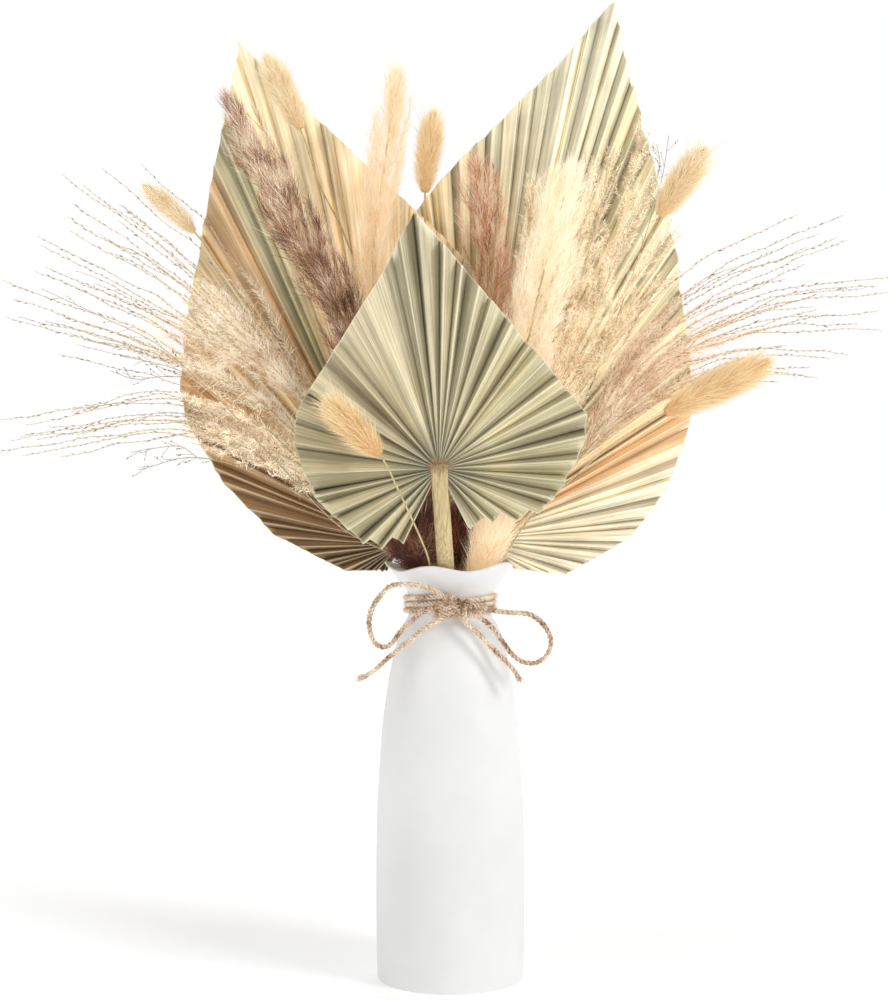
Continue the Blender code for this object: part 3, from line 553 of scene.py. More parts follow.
# The vase is slip-cast white ceramic under a matt glaze. It narrows to a neck and flares out
# again to a rim that is pinched into five soft waves.
BODY_RADIUS = 35.5
BASE_RADIUS = 33.6
NECK_RADIUS = 19.3
RIM_RADIUS = 30.8
RIM_HEIGHT = 197.2
RIM_LOBES = 5
RIM_WAVE = 1.4
RIM_DIP = 1.9
RIM_FLARE_WAVE = 0.8
CREST_ANGLE = math.radians(-18)
LIP_WALL = 1.8
WALL = 2.6
FLOOR = 4.6
VASE_SIDES = 160
VASE_STEP = 2.0
OUTER_PROFILE = (
    (BASE_RADIUS, 0.9),
    (BODY_RADIUS - 0.5, 3.0),
    (BODY_RADIUS, 40.0),
    (BODY_RADIUS - 0.3, 75.0),
    (BODY_RADIUS - 1.3, 98.0),
    (BODY_RADIUS - 2.6, 118.0),
    (BODY_RADIUS - 4.6, 134.0),
    (BODY_RADIUS - 7.0, 148.0),
    (BODY_RADIUS - 9.6, 159.0),
    (NECK_RADIUS + 3.9, 167.0),
    (NECK_RADIUS + 1.1, 172.0),
    (NECK_RADIUS, NECK_HEIGHT),
    (NECK_RADIUS + 0.5, 182.0),
    (NECK_RADIUS + 2.6, 186.0),
    (NECK_RADIUS + 5.9, 190.0),
    (NECK_RADIUS + 8.9, 194.0),
    (RIM_RADIUS, RIM_HEIGHT),
)
LIP = ((RIM_RADIUS - 0.35, RIM_HEIGHT + 0.55), (RIM_RADIUS - 1.0, RIM_HEIGHT + 0.7))
INNER_PROFILE = (
    (RIM_RADIUS - LIP_WALL, RIM_HEIGHT + 0.1),
    (NECK_RADIUS + 6.6, 193.6),
    (NECK_RADIUS + 3.4, 189.6),
    (NECK_RADIUS, 185.4),
    (NECK_RADIUS - 2.2, NECK_HEIGHT),
    (NECK_RADIUS + 1.0, 167.0),
    (BODY_RADIUS - 7.5, 140.0),
    (BODY_RADIUS - 4.2, 105.0),
    (BODY_RADIUS - WALL, 50.0),
    (BODY_RADIUS - WALL - 0.6, 8.0),
    (BODY_RADIUS - WALL - 5.0, FLOOR),
)


def ease(value, low, high):
    share = min(max((value - low) / (high - low), 0.0), 1.0)
    return share * share * (3.0 - 2.0 * share)


def vase_ring(radius, z):
    """One ring of the wall. Toward the rim it waves up and down and in and out."""
    wave = ease(z, NECK_HEIGHT + 5, RIM_HEIGHT)
    ring = []
    for side in range(VASE_SIDES):
        angle = math.tau * side / VASE_SIDES
        lobe = math.cos(RIM_LOBES * (angle - CREST_ANGLE))
        lift = RIM_WAVE * lobe - RIM_DIP * math.cos(angle - CREST_ANGLE)
        reach = (radius + wave * RIM_FLARE_WAVE * lobe) * MM
        ring.append((reach * math.sin(angle), -reach * math.cos(angle), (z + wave * lift) * MM))
    return ring


def throw_vase():
    outer = smooth_route([(r, 0, z) for r, z in OUTER_PROFILE], VASE_STEP)
    inner = smooth_route([(r, 0, z) for r, z in INNER_PROFILE], VASE_STEP)
    profile = [(BASE_RADIUS - 0.9, 0.0)]
    profile += [(p.x, p.z) for p in outer]
    profile += LIP
    profile += [(p.x, p.z) for p in inner]
    points = []
    for radius, z in profile:
        points.extend(vase_ring(radius, z))
    faces = []
    for low in range(0, len(points) - VASE_SIDES, VASE_SIDES):
        for side in range(VASE_SIDES):
            beside = (side + 1) % VASE_SIDES
            high = low + VASE_SIDES
            faces.append((low + side, low + beside, high + beside, high + side))
    faces.append(tuple(reversed(range(VASE_SIDES))))
    faces.append(tuple(range(len(points) - VASE_SIDES, len(points))))
    mesh = bpy.data.meshes.new("vase_body")
    mesh.from_pydata(points, [], faces)
    mesh.shade_smooth()
    mesh.set_sharp_from_angle(angle=math.radians(50))
    made = bpy.data.objects.new("vase_body", mesh)
    bpy.context.scene.collection.objects.link(made)
    return made


def ceramic_material():
    made, tree, surface = blank_material("matt white ceramic", 0.5)
    spot = wire(tree, "ShaderNodeTexCoord").outputs["Object"]
    cloud = wire(tree, "ShaderNodeTexNoise", {"Vector": spot, "Scale": 22.0, "Detail": 3.0})
    stops = ((0.3, (0.80, 0.80, 0.795)), (0.7, (0.86, 0.86, 0.855)))
    tree.links.new(ramp(tree, cloud.outputs["Fac"], stops), surface.inputs["Base Color"])
    grain = wire(tree, "ShaderNodeTexNoise", {"Vector": spot, "Scale": 700.0, "Detail": 2.0})
    uneven = reckon(tree, "MULTIPLY", cloud.outputs["Fac"], 0.3)
    rough = reckon(tree, "ADD", uneven, 0.32)
    tree.links.new(rough, surface.inputs["Roughness"])
    settings = {"Height": grain.outputs["Fac"], "Strength": 0.12, "Distance": 0.0002}
    bump = wire(tree, "ShaderNodeBump", settings)
    tree.links.new(bump.outputs[0], surface.inputs["Normal"])
    return made


vase = settle(throw_vase(), "ceramic", "vase")
vase.data.materials.append(ceramic_material())


# Three sun-dried palm leaves, each a pleated fan trimmed to a spade shape with scissors. The folds
# run out from the heart, where the fan sits on its own half-round stalk. Each fold has a pale rib.
HEART_RADIUS = 3.0
LEAF_ROWS = 22
LEAF_SHEET = 0.45
RIB_WIDTH = 0.55
CUT_EDGE = 0.7
STEM_SPLAY = ((4.9, 1.35), (100.0, 1.16), (174.0, 1.0), (182.0, 1.02), (188.0, 1.14))


def tint(red, green, blue):
    """A colour given as it looks on a screen, from 0 to 255."""
    return tuple((part / 255) ** 2.2 for part in (red, green, blue))


LEAVES = {
    "palm_leaf_front": {
        "neck": (-3.3, -12.2),
        "heart": (-5.3, -33.0, 242.4),
        "tip": (-16.8, -41.0, 360.0),
        "front": (0.0, -1.0, 0.0),
        "outline": (
            (0.0, 118.6),
            (11.5, 103.6),
            (38.6, 64.7),
            (63.7, 28.6),
            (70.0, 18.4),
            (68.3, 7.0),
            (62.6, -3.8),
            (54.1, -16.3),
            (41.7, -26.4),
            (29.5, -24.2),
            (10.6, -27.4),
        ),
        "left_outline": (
            (0.0, 118.6),
            (17.6, 91.1),
            (50.9, 48.6),
            (59.8, 37.0),
            (64.4, 28.0),
            (65.4, 17.4),
            (61.8, 3.7),
            (57.4, -9.6),
            (36.8, -31.6),
            (18.2, -30.6),
        ),
        "ridges": (-149, -139, -129, -118, -107, -97, -86, -74, -64, -52, -36, -18, -4, 1, 7),
        "right_ridges": (12, 18, 23, 32, 42, 50, 59, 67, 75, 83, 92, 101, 110, 120, 130, 141, 159),
        "fold": 4.2,
        "rise": 0.42,
        "rib": 0.95,
        "mirrored": 0.25,
        "square_from": 2.0,
        "wave": 3.0,
        "ragged": 0.5,
        "stalk": ((-2.2, -21.4, 195.0), (-2.4, -25.0, 200.0), (-3.4, -29.6, 215.0)),
        "stalk_width": 8.0,
        "painted_fold_shade": 1.0,
        "valley": (0.6, 0.84),
        "seed": 3,
        "colours": (
            (0.0, tint(184, 175, 140)),
            (0.12, tint(194, 184, 148)),
            (0.25, tint(188, 178, 144)),
            (0.4, tint(194, 182, 150)),
            (0.5, tint(184, 174, 144)),
            (0.62, tint(202, 192, 156)),
            (0.8, tint(200, 190, 154)),
            (1.0, tint(190, 180, 146)),
        ),
        "rib_colour": tint(244, 236, 206),
    },
    "palm_leaf_left": {
        "neck": (-7.2, 11.0),
        "heart": (-24.5, 20.0, 206.0),
        "tip": (-105.6, 34.0, 456.0),
        "front": (-0.05, -1.0, 0.0),
        "outline": (
            (0.0, 263.0),
            (21.2, 224.6),
            (63.2, 146.6),
            (79.5, 110.6),
            (82.0, 88.0),
            (73.5, 55.8),
            (57.8, 24.0),
            (30.0, -3.5),
            (10.0, -10.0),
        ),
        "crowding": 0.62,
        "pleats": 62,
        "fold": 1.8,
        "rise": 0.38,
        "rib": 0.8,
        "mirrored": 0.35,
        "square_from": 1.9,
        "wave": 4.0,
        "ragged": 0.6,
        "stalk": ((-11.4, 14.2, 194.0), (-16.2, 16.6, 199.0)),
        "stalk_width": 5.4,
        "painted_fold_shade": 0.5,
        "valley": (0.5, 0.8),
        "seed": 8,
        "colours": (
            (0.0, tint(112, 86, 60)),
            (0.15, tint(128, 102, 72)),
            (0.28, tint(142, 114, 82)),
            (0.34, tint(172, 140, 102)),
            (0.38, tint(208, 166, 118)),
            (0.41, tint(228, 206, 164)),
            (0.445, tint(232, 208, 164)),
            (0.455, tint(208, 172, 128)),
            (0.466, tint(208, 174, 132)),
            (0.472, tint(190, 184, 148)),
            (0.484, tint(180, 174, 140)),
            (0.49, tint(254, 238, 200)),
            (0.53, tint(254, 236, 198)),
            (0.6, tint(254, 234, 194)),
            (0.63, tint(222, 214, 182)),
            (0.8, tint(214, 196, 156)),
            (1.0, tint(170, 140, 104)),
        ),
        "rib_colour": tint(250, 236, 200),
    },
    "palm_leaf_right": {
        "neck": (4.2, 12.6),
        "heart": (11.0, 27.0, 208.5),
        "tip": (82.6, 57.0, 479.0),
        "front": (0.02, -1.0, 0.0),
        "outline": (
            (0.0, 284.5),
            (18.0, 250.0),
            (63.7, 166.3),
            (84.7, 111.0),
            (91.1, 82.2),
            (87.2, 49.8),
            (76.2, 21.0),
            (49.3, -5.0),
            (15.0, -10.0),
        ),
        "crowding": 0.62,
        "pleats": 64,
        "fold": 1.8,
        "rise": 0.38,
        "rib": 0.7,
        "mirrored": 0.5,
        "square_from": 1.9,
        "wave": 4.0,
        "ragged": 0.6,
        "stalk": ((5.6, 17.2, 194.0), (7.2, 20.4, 200.0)),
        "stalk_width": 5.4,
        "painted_fold_shade": 1.15,
        "valley": (0.5, 0.8),
        "seed": 21,
        "colours": (
            (0.0, tint(222, 196, 154)),
            (0.3, tint(236, 214, 170)),
            (0.42, tint(222, 206, 166)),
            (0.46, tint(240, 228, 192)),
            (0.50, tint(246, 238, 206)),
            (0.53, tint(206, 192, 150)),
            (0.56, tint(242, 232, 196)),
            (0.64, tint(248, 232, 190)),
            (0.69, tint(240, 200, 152)),
            (0.73, tint(254, 244, 214)),
            (0.88, tint(254, 242, 212)),
            (1.0, tint(244, 224, 188)),
        ),
        "rib_colour": tint(254, 248, 222),
    },
}


def leaf_reach(shape, angle):
    """How far the leaf goes from its heart at an angle from its tip, out to the trimmed edge."""
    outline = shape["outline"]
    if angle < 0:
        outline = shape.get("left_outline", outline)
    ray = Vector((math.sin(abs(angle)), math.cos(angle)))
    for a, b in zip(outline, outline[1:]):
        edge = Vector(b) - Vector(a)
        across = ray.x * edge.y - ray.y * edge.x
        if abs(across) < 1e-9:
            continue
        share = (a[1] * ray.x - a[0] * ray.y) / -across
        if -1e-6 <= share <= 1.0 + 1e-6:
            return (Vector(a) + share * edge).length
    return Vector(outline[-1]).length


def ridge_angles(shape, chooser):
    """Where each ridge lies, from one side of the fan to the other."""
    if "ridges" in shape:
        return [math.radians(angle) for angle in shape["ridges"] + shape["right_ridges"]]
    last = shape["outline"][-1]
    spread = math.atan2(last[0], last[1])
    angles = []
    for i in range(shape["pleats"] + 1):
        place = 2.0 * i / shape["pleats"] - 1.0
        if 0 < i < shape["pleats"]:
            place += chooser.uniform(-0.45, 0.45) / shape["pleats"]
        crowded = (1 - shape["crowding"]) * place + shape["crowding"] * place * abs(place)
        angles.append(spread * crowded)
    return angles


# Across one pleat, from one ridge to the next, with its valley in between: the share of the way to
# the valley or beyond it, the height of the fold, and how deep in shade it is.
PLEAT_COLUMNS = (
    (-0.55, 0.1, 0.0),
    (-0.16, -0.7, 0.25),
    (0.0, -1.0, 1.0),
    (0.16, -0.72, 0.8),
    (0.55, 0.05, 0.55),
)


def fan_columns(shape, chooser):
    """Every fold line of the fan, with its angle, reach, height, paleness, shade and tone."""
    angles = ridge_angles(shape, chooser)
    columns = []
    for start, end in zip(angles, angles[1:]):
        width = end - start
        middle = (start + end) / 2
        valley = chooser.uniform(*shape["valley"])
        strength = chooser.uniform(0.65, 1.15)
        paleness = chooser.uniform(0.35, 1.0)
        # How dark this pleat's painted fold shade is.
        depth = shape["painted_fold_shade"] * chooser.uniform(0.5, 1.0)
        reach = leaf_reach(shape, middle)
        rib = min(RIB_WIDTH / (width * reach), 0.2)
        ragged = 1.0 + chooser.uniform(-0.01, 0.01) * shape["ragged"]
        pleat = [(rib, 0.86, 0.0, 0.05), (1.0 - rib, 0.86, 0.0, 0.42)]
        for place, height, shade in PLEAT_COLUMNS:
            share = valley * (1 + place) if place <= 0 else valley + (1 - valley) * place
            pleat.append((share, height, 0.0, shade))
        if chooser.random() < shape["mirrored"]:
            pleat = [(1.0 - share, *rest) for share, *rest in pleat]
            valley = 1.0 - valley
        pleat.append((0.0, 1.0, 1.0, 0.0))
        tones = (chooser.random(), chooser.random())
        for share, height, pale, shade in sorted(pleat):
            angle = start + width * share
            square = ease(abs(middle), shape["square_from"], shape["square_from"] + 0.25)
            trimmed = leaf_reach(shape, angle)
            cut = reach / max(math.cos(angle - middle), 0.5)
            column = {
                "angle": angle,
                "reach": (trimmed + (cut - trimmed) * square) * ragged,
                "height": height * strength,
                "pleat": width,
                "pale": pale * paleness,
                "shade": shade * depth,
                "tone": 0.6 * tones[share >= valley] + 0.4 * chooser.random(),
            }
            columns.append(column)
    last = {**columns[0], "angle": angles[-1], "pleat": columns[-1]["pleat"]}
    columns.append({**last, "reach": leaf_reach(shape, angles[-1])})
    return columns


def pleated_blade(name, shape):
    chooser = random.Random(shape["seed"])
    heart = Vector(shape["heart"])
    up = (Vector(shape["tip"]) - heart).normalized()
    front = Vector(shape["front"])
    front = (front - front.dot(up) * up).normalized()
    right = up.cross(front)
    columns = fan_columns(shape, chooser)
    spread = columns[-1]["angle"]
    points = []
    marks = {"rib": [], "fold": [], "turn": [], "across": [], "out": []}
    for column in columns:
        side = right * math.sin(column["angle"]) + up * math.cos(column["angle"])
        edge = column["reach"] - CUT_EDGE
        steps = [HEART_RADIUS + (edge - HEART_RADIUS) * row / LEAF_ROWS for row in range(LEAF_ROWS + 1)]
        for distance in [*steps, column["reach"]]:
            rise = min(shape["rise"] * distance * column["pleat"], shape["fold"])
            spot = Vector((column["angle"] * 1.7, distance * 0.012, shape["seed"]))
            wave = shape["wave"] * noise.noise(spot) * distance / 100.0
            points.append((heart + side * distance + front * (wave + rise * column["height"])) * MM)
            trimmed = distance > edge
            marks["rib"].append(max(column["pale"], 0.75 if trimmed else 0.0))
            # The fold mark is painted shade: dark in each valley and along the flank past it, none on
            # the trimmed edge.
            marks["fold"].append(0.0 if trimmed else column["shade"])
            marks["turn"].append(0.5 + 0.5 * column["angle"] / spread)
            marks["across"].append(column["angle"] * 60.0)
            marks["out"].append(distance)
    rows = LEAF_ROWS + 2
    faces = []
    tones = []
    for number in range(len(columns) - 1):
        low = number * rows
        for row in range(rows - 1):
            faces.append((low + row, low + row + 1, low + rows + row + 1, low + rows + row))
            tones.append(columns[number]["tone"])
    mesh = bpy.data.meshes.new(name)
    mesh.from_pydata(points, [], faces)
    for label, values in marks.items():
        mesh.attributes.new(label, "FLOAT", "POINT").data.foreach_set("value", values)
    mesh.attributes.new("tone", "FLOAT", "FACE").data.foreach_set("value", tones)
    made = bpy.data.objects.new(name, mesh)
    bpy.context.scene.collection.objects.link(made)
    sheet = made.modifiers.new("leaf thickness", "SOLIDIFY")
    sheet.thickness = LEAF_SHEET * MM
    sheet.offset = 0.0
    graph = bpy.context.evaluated_depsgraph_get()
    solid = bpy.data.meshes.new_from_object(made.evaluated_get(graph))
    made.modifiers.clear()
    made.data = solid
    return made


def veins_group():
    """The fine veins, blotches and pale ribs of a dry leaf, with painted shade in its folds and toward
    its heart, as a colour and a height.
    """
    tree = bpy.data.node_groups.new("dry veins", "ShaderNodeTree")
    for label, kind in (
        ("Colour", "Color"),
        ("Rib Colour", "Color"),
        ("Rib", "Float"),
        ("Painted Fold Shade", "Float"),
        ("Tone", "Float"),
        ("Across", "Float"),
        ("Out", "Float"),
    ):
        tree.interface.new_socket(label, in_out="INPUT", socket_type="NodeSocket" + kind)
    tree.interface.new_socket("Colour", in_out="OUTPUT", socket_type="NodeSocketColor")
    tree.interface.new_socket("Height", in_out="OUTPUT", socket_type="NodeSocketFloat")
    given = tree.nodes.new("NodeGroupInput").outputs

    def noise_along(across, out, detail):
        x = reckon(tree, "MULTIPLY", given["Across"], across)
        y = reckon(tree, "MULTIPLY", given["Out"], out)
        spot = wire(tree, "ShaderNodeCombineXYZ", {"X": x, "Y": y}).outputs[0]
        settings = {"Vector": spot, "Scale": 1.0, "Detail": detail}
        return wire(tree, "ShaderNodeTexNoise", settings).outputs["Fac"]

    vein = noise_along(2.4, 0.02, 3.0)
    streak = noise_along(0.55, 0.012, 2.0)
    blotch = noise_along(0.12, 0.06, 3.0)
    light = reckon(tree, "MULTIPLY_ADD", vein, 1.4)
    light.node.inputs[2].default_value = 0.34
    more = reckon(tree, "MULTIPLY_ADD", streak, 1.4)
    more.node.inputs[2].default_value = 0.34
    spots = reckon(tree, "MULTIPLY_ADD", blotch, 0.4)
    spots.node.inputs[2].default_value = 0.82
    facet = reckon(tree, "MULTIPLY_ADD", given["Tone"], 0.62)
    facet.node.inputs[2].default_value = 0.72
    # Painted shade: the facets grow darker toward the heart, where the pleats crowd together.
    settings = {"Value": given["Out"], "From Min": 3.0, "From Max": 26.0, "To Min": 0.4}
    inner = wire(tree, "ShaderNodeMapRange", settings).outputs[0]
    facet = reckon(tree, "MULTIPLY", facet, inner)
    value = reckon(tree, "MULTIPLY", reckon(tree, "MULTIPLY", light, more), spots)
    value = reckon(tree, "MULTIPLY", value, facet)
    # Painted shade in the folds, as deep as the fold mark says.
    painted_fold_shade = reckon(tree, "MULTIPLY_ADD", given["Painted Fold Shade"], -0.72)
    painted_fold_shade.node.inputs[2].default_value = 1.0
    value = reckon(tree, "MULTIPLY", value, painted_fold_shade)
    settings = {"Color": given["Colour"], "Value": value}
    veined = wire(tree, "ShaderNodeHueSaturation", settings).outputs[0]
    settings = {"Factor": given["Rib"], 6: veined, 7: given["Rib Colour"]}
    mixed = wire(tree, "ShaderNodeMix", settings, data_type="RGBA").outputs[2]
    height = reckon(tree, "ADD", vein, given["Rib"])
    wire(tree, "NodeGroupOutput", {"Colour": mixed, "Height": height})
    return tree


dry_veins = veins_group()


def leaf_material(name, shape):
    made, tree, surface = blank_material(name, 0.62)
    settings = {
        "Colour": ramp(tree, reading(tree, "turn"), shape["colours"], smooth=False),
        "Rib Colour": (*shape["rib_colour"], 1.0),
        "Rib": reckon(tree, "MULTIPLY", reading(tree, "rib"), shape["rib"]),
        "Painted Fold Shade": reading(tree, "fold"),
        "Tone": reading(tree, "tone"),
        "Across": reading(tree, "across"),
        "Out": reading(tree, "out"),
    }
    veins = tree.nodes.new("ShaderNodeGroup")
    veins.node_tree = dry_veins
    for label, value in settings.items():
        if isinstance(value, bpy.types.NodeSocket):
            tree.links.new(value, veins.inputs[label])
        else:
            veins.inputs[label].default_value = value
    tree.links.new(veins.outputs["Colour"], surface.inputs["Base Color"])
    settings = {"Height": veins.outputs["Height"], "Strength": 0.35, "Distance": 0.0004}
    bump = wire(tree, "ShaderNodeBump", settings)
    tree.links.new(bump.outputs[0], surface.inputs["Normal"])
    return made


def up_the_vase(neck):
    """A stem's way from the vase's floor through the neck to where the rim flares."""
    return [(neck[0] * splay, neck[1] * splay, z) for z, splay in STEM_SPLAY]


def straw_material(name, dark, light):
    """A dry stalk: long fine grooves, paler and darker in streaks."""
    made, tree, surface = blank_material(name, 0.5)
    spot = wire(tree, "ShaderNodeTexCoord").outputs["Object"]
    settings = {"Vector": spot, "Scale": (1500.0, 1500.0, 6.0)}
    drawn = wire(tree, "ShaderNodeMapping", settings).outputs[0]
    groove = wire(tree, "ShaderNodeTexNoise", {"Vector": drawn, "Scale": 1.0, "Detail": 1.0})
    colour = ramp(tree, groove.outputs["Fac"], ((0.05, dark), (0.8, light)))
    tree.links.new(colour, surface.inputs["Base Color"])
    settings = {"Height": groove.outputs["Fac"], "Strength": 0.2, "Distance": 0.0003}
    bump = wire(tree, "ShaderNodeBump", settings)
    tree.links.new(bump.outputs[0], surface.inputs["Normal"])
    return made


straw = straw_material("straw", tint(158, 134, 88), tint(218, 198, 150))


def leaf_stalk(name, shape):
    """The half-round stalk, flat at the back, from the vase's floor to the leaf's heart."""
    heart = Vector(shape["heart"])
    top = heart + (heart - Vector(shape["stalk"][-1])).normalized() * 2.0
    route = smooth_route([*up_the_vase(shape["neck"]), *shape["stalk"], top], 4.0)
    sides = 16
    points = []
    faces = []
    for i, point in enumerate(route):
        ahead = route[min(i + 1, len(route) - 1)] - route[max(i - 1, 0)]
        ahead.normalize()
        back = Vector((0, 1, 0))
        back = (back - back.dot(ahead) * ahead).normalized()
        wide = ahead.cross(back)
        width = 5.8 + (shape["stalk_width"] - 5.8) * ease(point.z, 177.0, 197.0)
        for side in range(sides):
            turn = math.tau * (side + 0.5) / sides
            x = math.cos(turn)
            y = math.sin(turn)
            y = -abs(y) * 0.62 if y < 0 else y * 0.2
            points.append((point + wide * (x * width / 2) + back * (y * width / 2)) * MM)
    for low in range(0, len(points) - sides, sides):
        for side in range(sides):
            beside = (side + 1) % sides
            faces.append((low + side, low + beside, low + beside + sides, low + side + sides))
    faces.append(tuple(reversed(range(sides))))
    faces.append(tuple(range(len(points) - sides, len(points))))
    mesh = bpy.data.meshes.new(name)
    mesh.from_pydata(points, [], faces)
    mesh.shade_smooth()
    made = bpy.data.objects.new(name, mesh)
    bpy.context.scene.collection.objects.link(made)
    made.data.materials.append(straw)
    return made


def heart_fibres(name, shape):
    """The tuft of torn brown fibres where the pleats meet the stalk."""
    heart = Vector(shape["heart"])
    tuft = bpy.data.meshes.new(name)
    ball = bmesh.new()
    bmesh.ops.create_icosphere(ball, subdivisions=2, radius=1.0)
    for point in ball.verts:
        stretched = Vector((point.co.x * 4.4, point.co.y * 1.5 - 1.2, point.co.z * 2.6 + 1.5))
        point.co = (heart + stretched) * MM
    ball.to_mesh(tuft)
    ball.free()
    made = bpy.data.objects.new(name, tuft)
    bpy.context.scene.collection.objects.link(made)
    values = {
        "Fibres": torn_fibres,
        "Density": 4.0e6,
        "Length": 4.5 * MM,
        "Lean": 0.9,
        "Seed": shape["seed"],
        "Material": torn,
    }
    return grow(made, loose_fibres, values)


torn_fibres = fibre_kit("torn_fibre", 0.05, ((0.5, 0.2), (-0.6, 0.3), (0.3, -0.4), (-0.2, -0.2)), 4)
torn = straw_material("torn fibres", tint(120, 82, 58), tint(210, 176, 130))


for name, shape in LEAVES.items():
    blade = settle(pleated_blade(name + "_blade", shape), name, name)
    blade.data.materials.append(leaf_material(name, shape))
    settle(leaf_stalk(name + "_stalk", shape), name)
    settle(heart_fibres(name + "_heart", shape), name)


# Four feathery plumes: two of reed, brown and pink, and two of cream pampas grass. Side branches
# lie up along the top of each stalk, and every branch is thick with long silky hairs.
PLUMES = {
    "reed_plume_brown": {
        "neck": (-8.8, -6.6),
        "route": (
            (-14.0, -10.0, 199.0),
            (-18.6, -14.0, 215.0),
            (-31.0, -18.0, 256.0),
            (-50.0, -13.0, 311.0),
            (-71.5, -8.0, 352.0),
            (-90.0, -3.0, 388.0),
            (-109.5, 2.0, 426.0),
        ),
        "head": 250.0,
        "radius": 8.6,
        "swell": ((0.0, 0.2), (0.08, 0.75), (0.3, 0.95), (0.6, 1.0), (0.85, 0.75), (1.0, 0.1)),
    },
    "reed_plume_pink": {
        "neck": (2.8, 2.2),
        "route": (
            (4.4, 2.0, 198.0),
            (9.5, 2.0, 228.0),
            (15.3, 3.0, 276.0),
            (18.2, 2.0, 329.0),
            (14.6, 0.0, 372.0),
            (11.9, 0.0, 397.0),
        ),
        "head": 198.0,
        "radius": 10.0,
        "swell": ((0.0, 0.15), (0.12, 0.5), (0.35, 0.75), (0.65, 1.0), (0.9, 0.8), (1.0, 0.1)),
    },
    "pampas_plume_centre": {
        "neck": (-2.8, 3.2),
        "route": (
            (-6.4, 4.4, 200.0),
            (-16.0, 2.0, 238.0),
            (-30.4, 1.0, 286.0),
            (-36.7, 1.0, 339.0),
            (-33.8, 2.0, 372.0),
            (-29.5, 3.0, 406.0),
            (-25.7, 4.0, 439.0),
        ),
        "head": 176.0,
        "radius": 8.6,
        "swell": ((0.0, 0.15), (0.15, 0.7), (0.4, 1.0), (0.75, 0.95), (0.92, 0.6), (1.0, 0.1)),
    },
    "pampas_plume_right": {
        "neck": (8.0, -6.4),
        "route": (
            (15.6, -11.0, 199.0),
            (21.6, -14.4, 222.0),
            (29.6, -17.0, 264.0),
            (37.6, -16.0, 308.0),
            (48.2, -12.0, 351.0),
            (59.4, -8.0, 390.0),
        ),
        "head": 204.0,
        "radius": 12.4,
        "swell": ((0.0, 0.25), (0.1, 0.66), (0.3, 0.7), (0.6, 1.0), (0.85, 0.85), (1.0, 0.1)),
    },
}
# For each plume: how many side branches, their length, how far their hairs stand, how much painted
# shade darkens the branches at its foot, and its colours from the darkest root to the palest tip.
PLUME_HAIR = {
    "reed_plume_brown": {
        "branches": 200,
        "skirt": 80,
        "skirt_side": math.pi,
        "skirt_reach": 15.0,
        "painted_foot_shade": 0.55,
        "lit": 0.75,
        "fluff": 1.95,
        "branch": 34.0,
        "stand": 4.2,
        "patches": 1.3,
        "glow": 0.1,
        "foot": 0.9,
        "colours": (
            (0.04, tint(84, 54, 52)),
            (0.32, tint(114, 68, 46)),
            (0.6, tint(184, 134, 100)),
            (0.84, tint(253, 238, 214)),
        ),
    },
    "reed_plume_pink": {
        "branches": 160,
        "skirt": 56,
        "skirt_side": 3.4,
        "skirt_reach": 12.0,
        "painted_foot_shade": 1.5,
        "lit": 0.6,
        "fluff": 1.6,
        "branch": 26.0,
        "stand": 3.8,
        "patches": 1.2,
        "glow": 0.1,
        "foot": 0.7,
        "colours": (
            (0.06, tint(76, 42, 34)),
            (0.34, tint(170, 106, 74)),
            (0.62, tint(226, 176, 134)),
            (0.86, tint(254, 240, 216)),
        ),
    },
    "pampas_plume_centre": {
        "branches": 130,
        "skirt": 0,
        "skirt_side": 0.0,
        "skirt_reach": 0.0,
        "painted_foot_shade": 0.0,
        "lit": 0.3,
        "fluff": 1.5,
        "branch": 38.0,
        "stand": 3.8,
        "patches": 0.6,
        "glow": 0.16,
        "foot": 0.6,
        "colours": (
            (0.1, tint(226, 188, 136)),
            (0.4, tint(242, 219, 182)),
            (0.9, tint(253, 244, 222)),
        ),
    },
    "pampas_plume_right": {
        "branches": 160,
        "skirt": 56,
        "skirt_side": 2.8,
        "skirt_reach": 8.5,
        "painted_foot_shade": 0.25,
        "lit": 0.3,
        "fluff": 1.5,
        "branch": 40.0,
        "stand": 4.2,
        "patches": 0.6,
        "glow": 0.2,
        "foot": 0.75,
        "colours": (
            (0.0, tint(200, 164, 124)),
            (0.16, tint(240, 216, 176)),
            (0.42, tint(249, 234, 206)),
            (0.9, tint(254, 247, 232)),
        ),
    },
}
PLUME_STALK = 1.4


def knots_at(knots, value):
    """A value read from (position, value) knots, which straight runs join."""
    if value <= knots[0][0]:
        return knots[0][1]
    for (low, start), (high, end) in zip(knots, knots[1:]):
        if value <= high:
            return start + (end - start) * (value - low) / (high - low)
    return knots[-1][1]


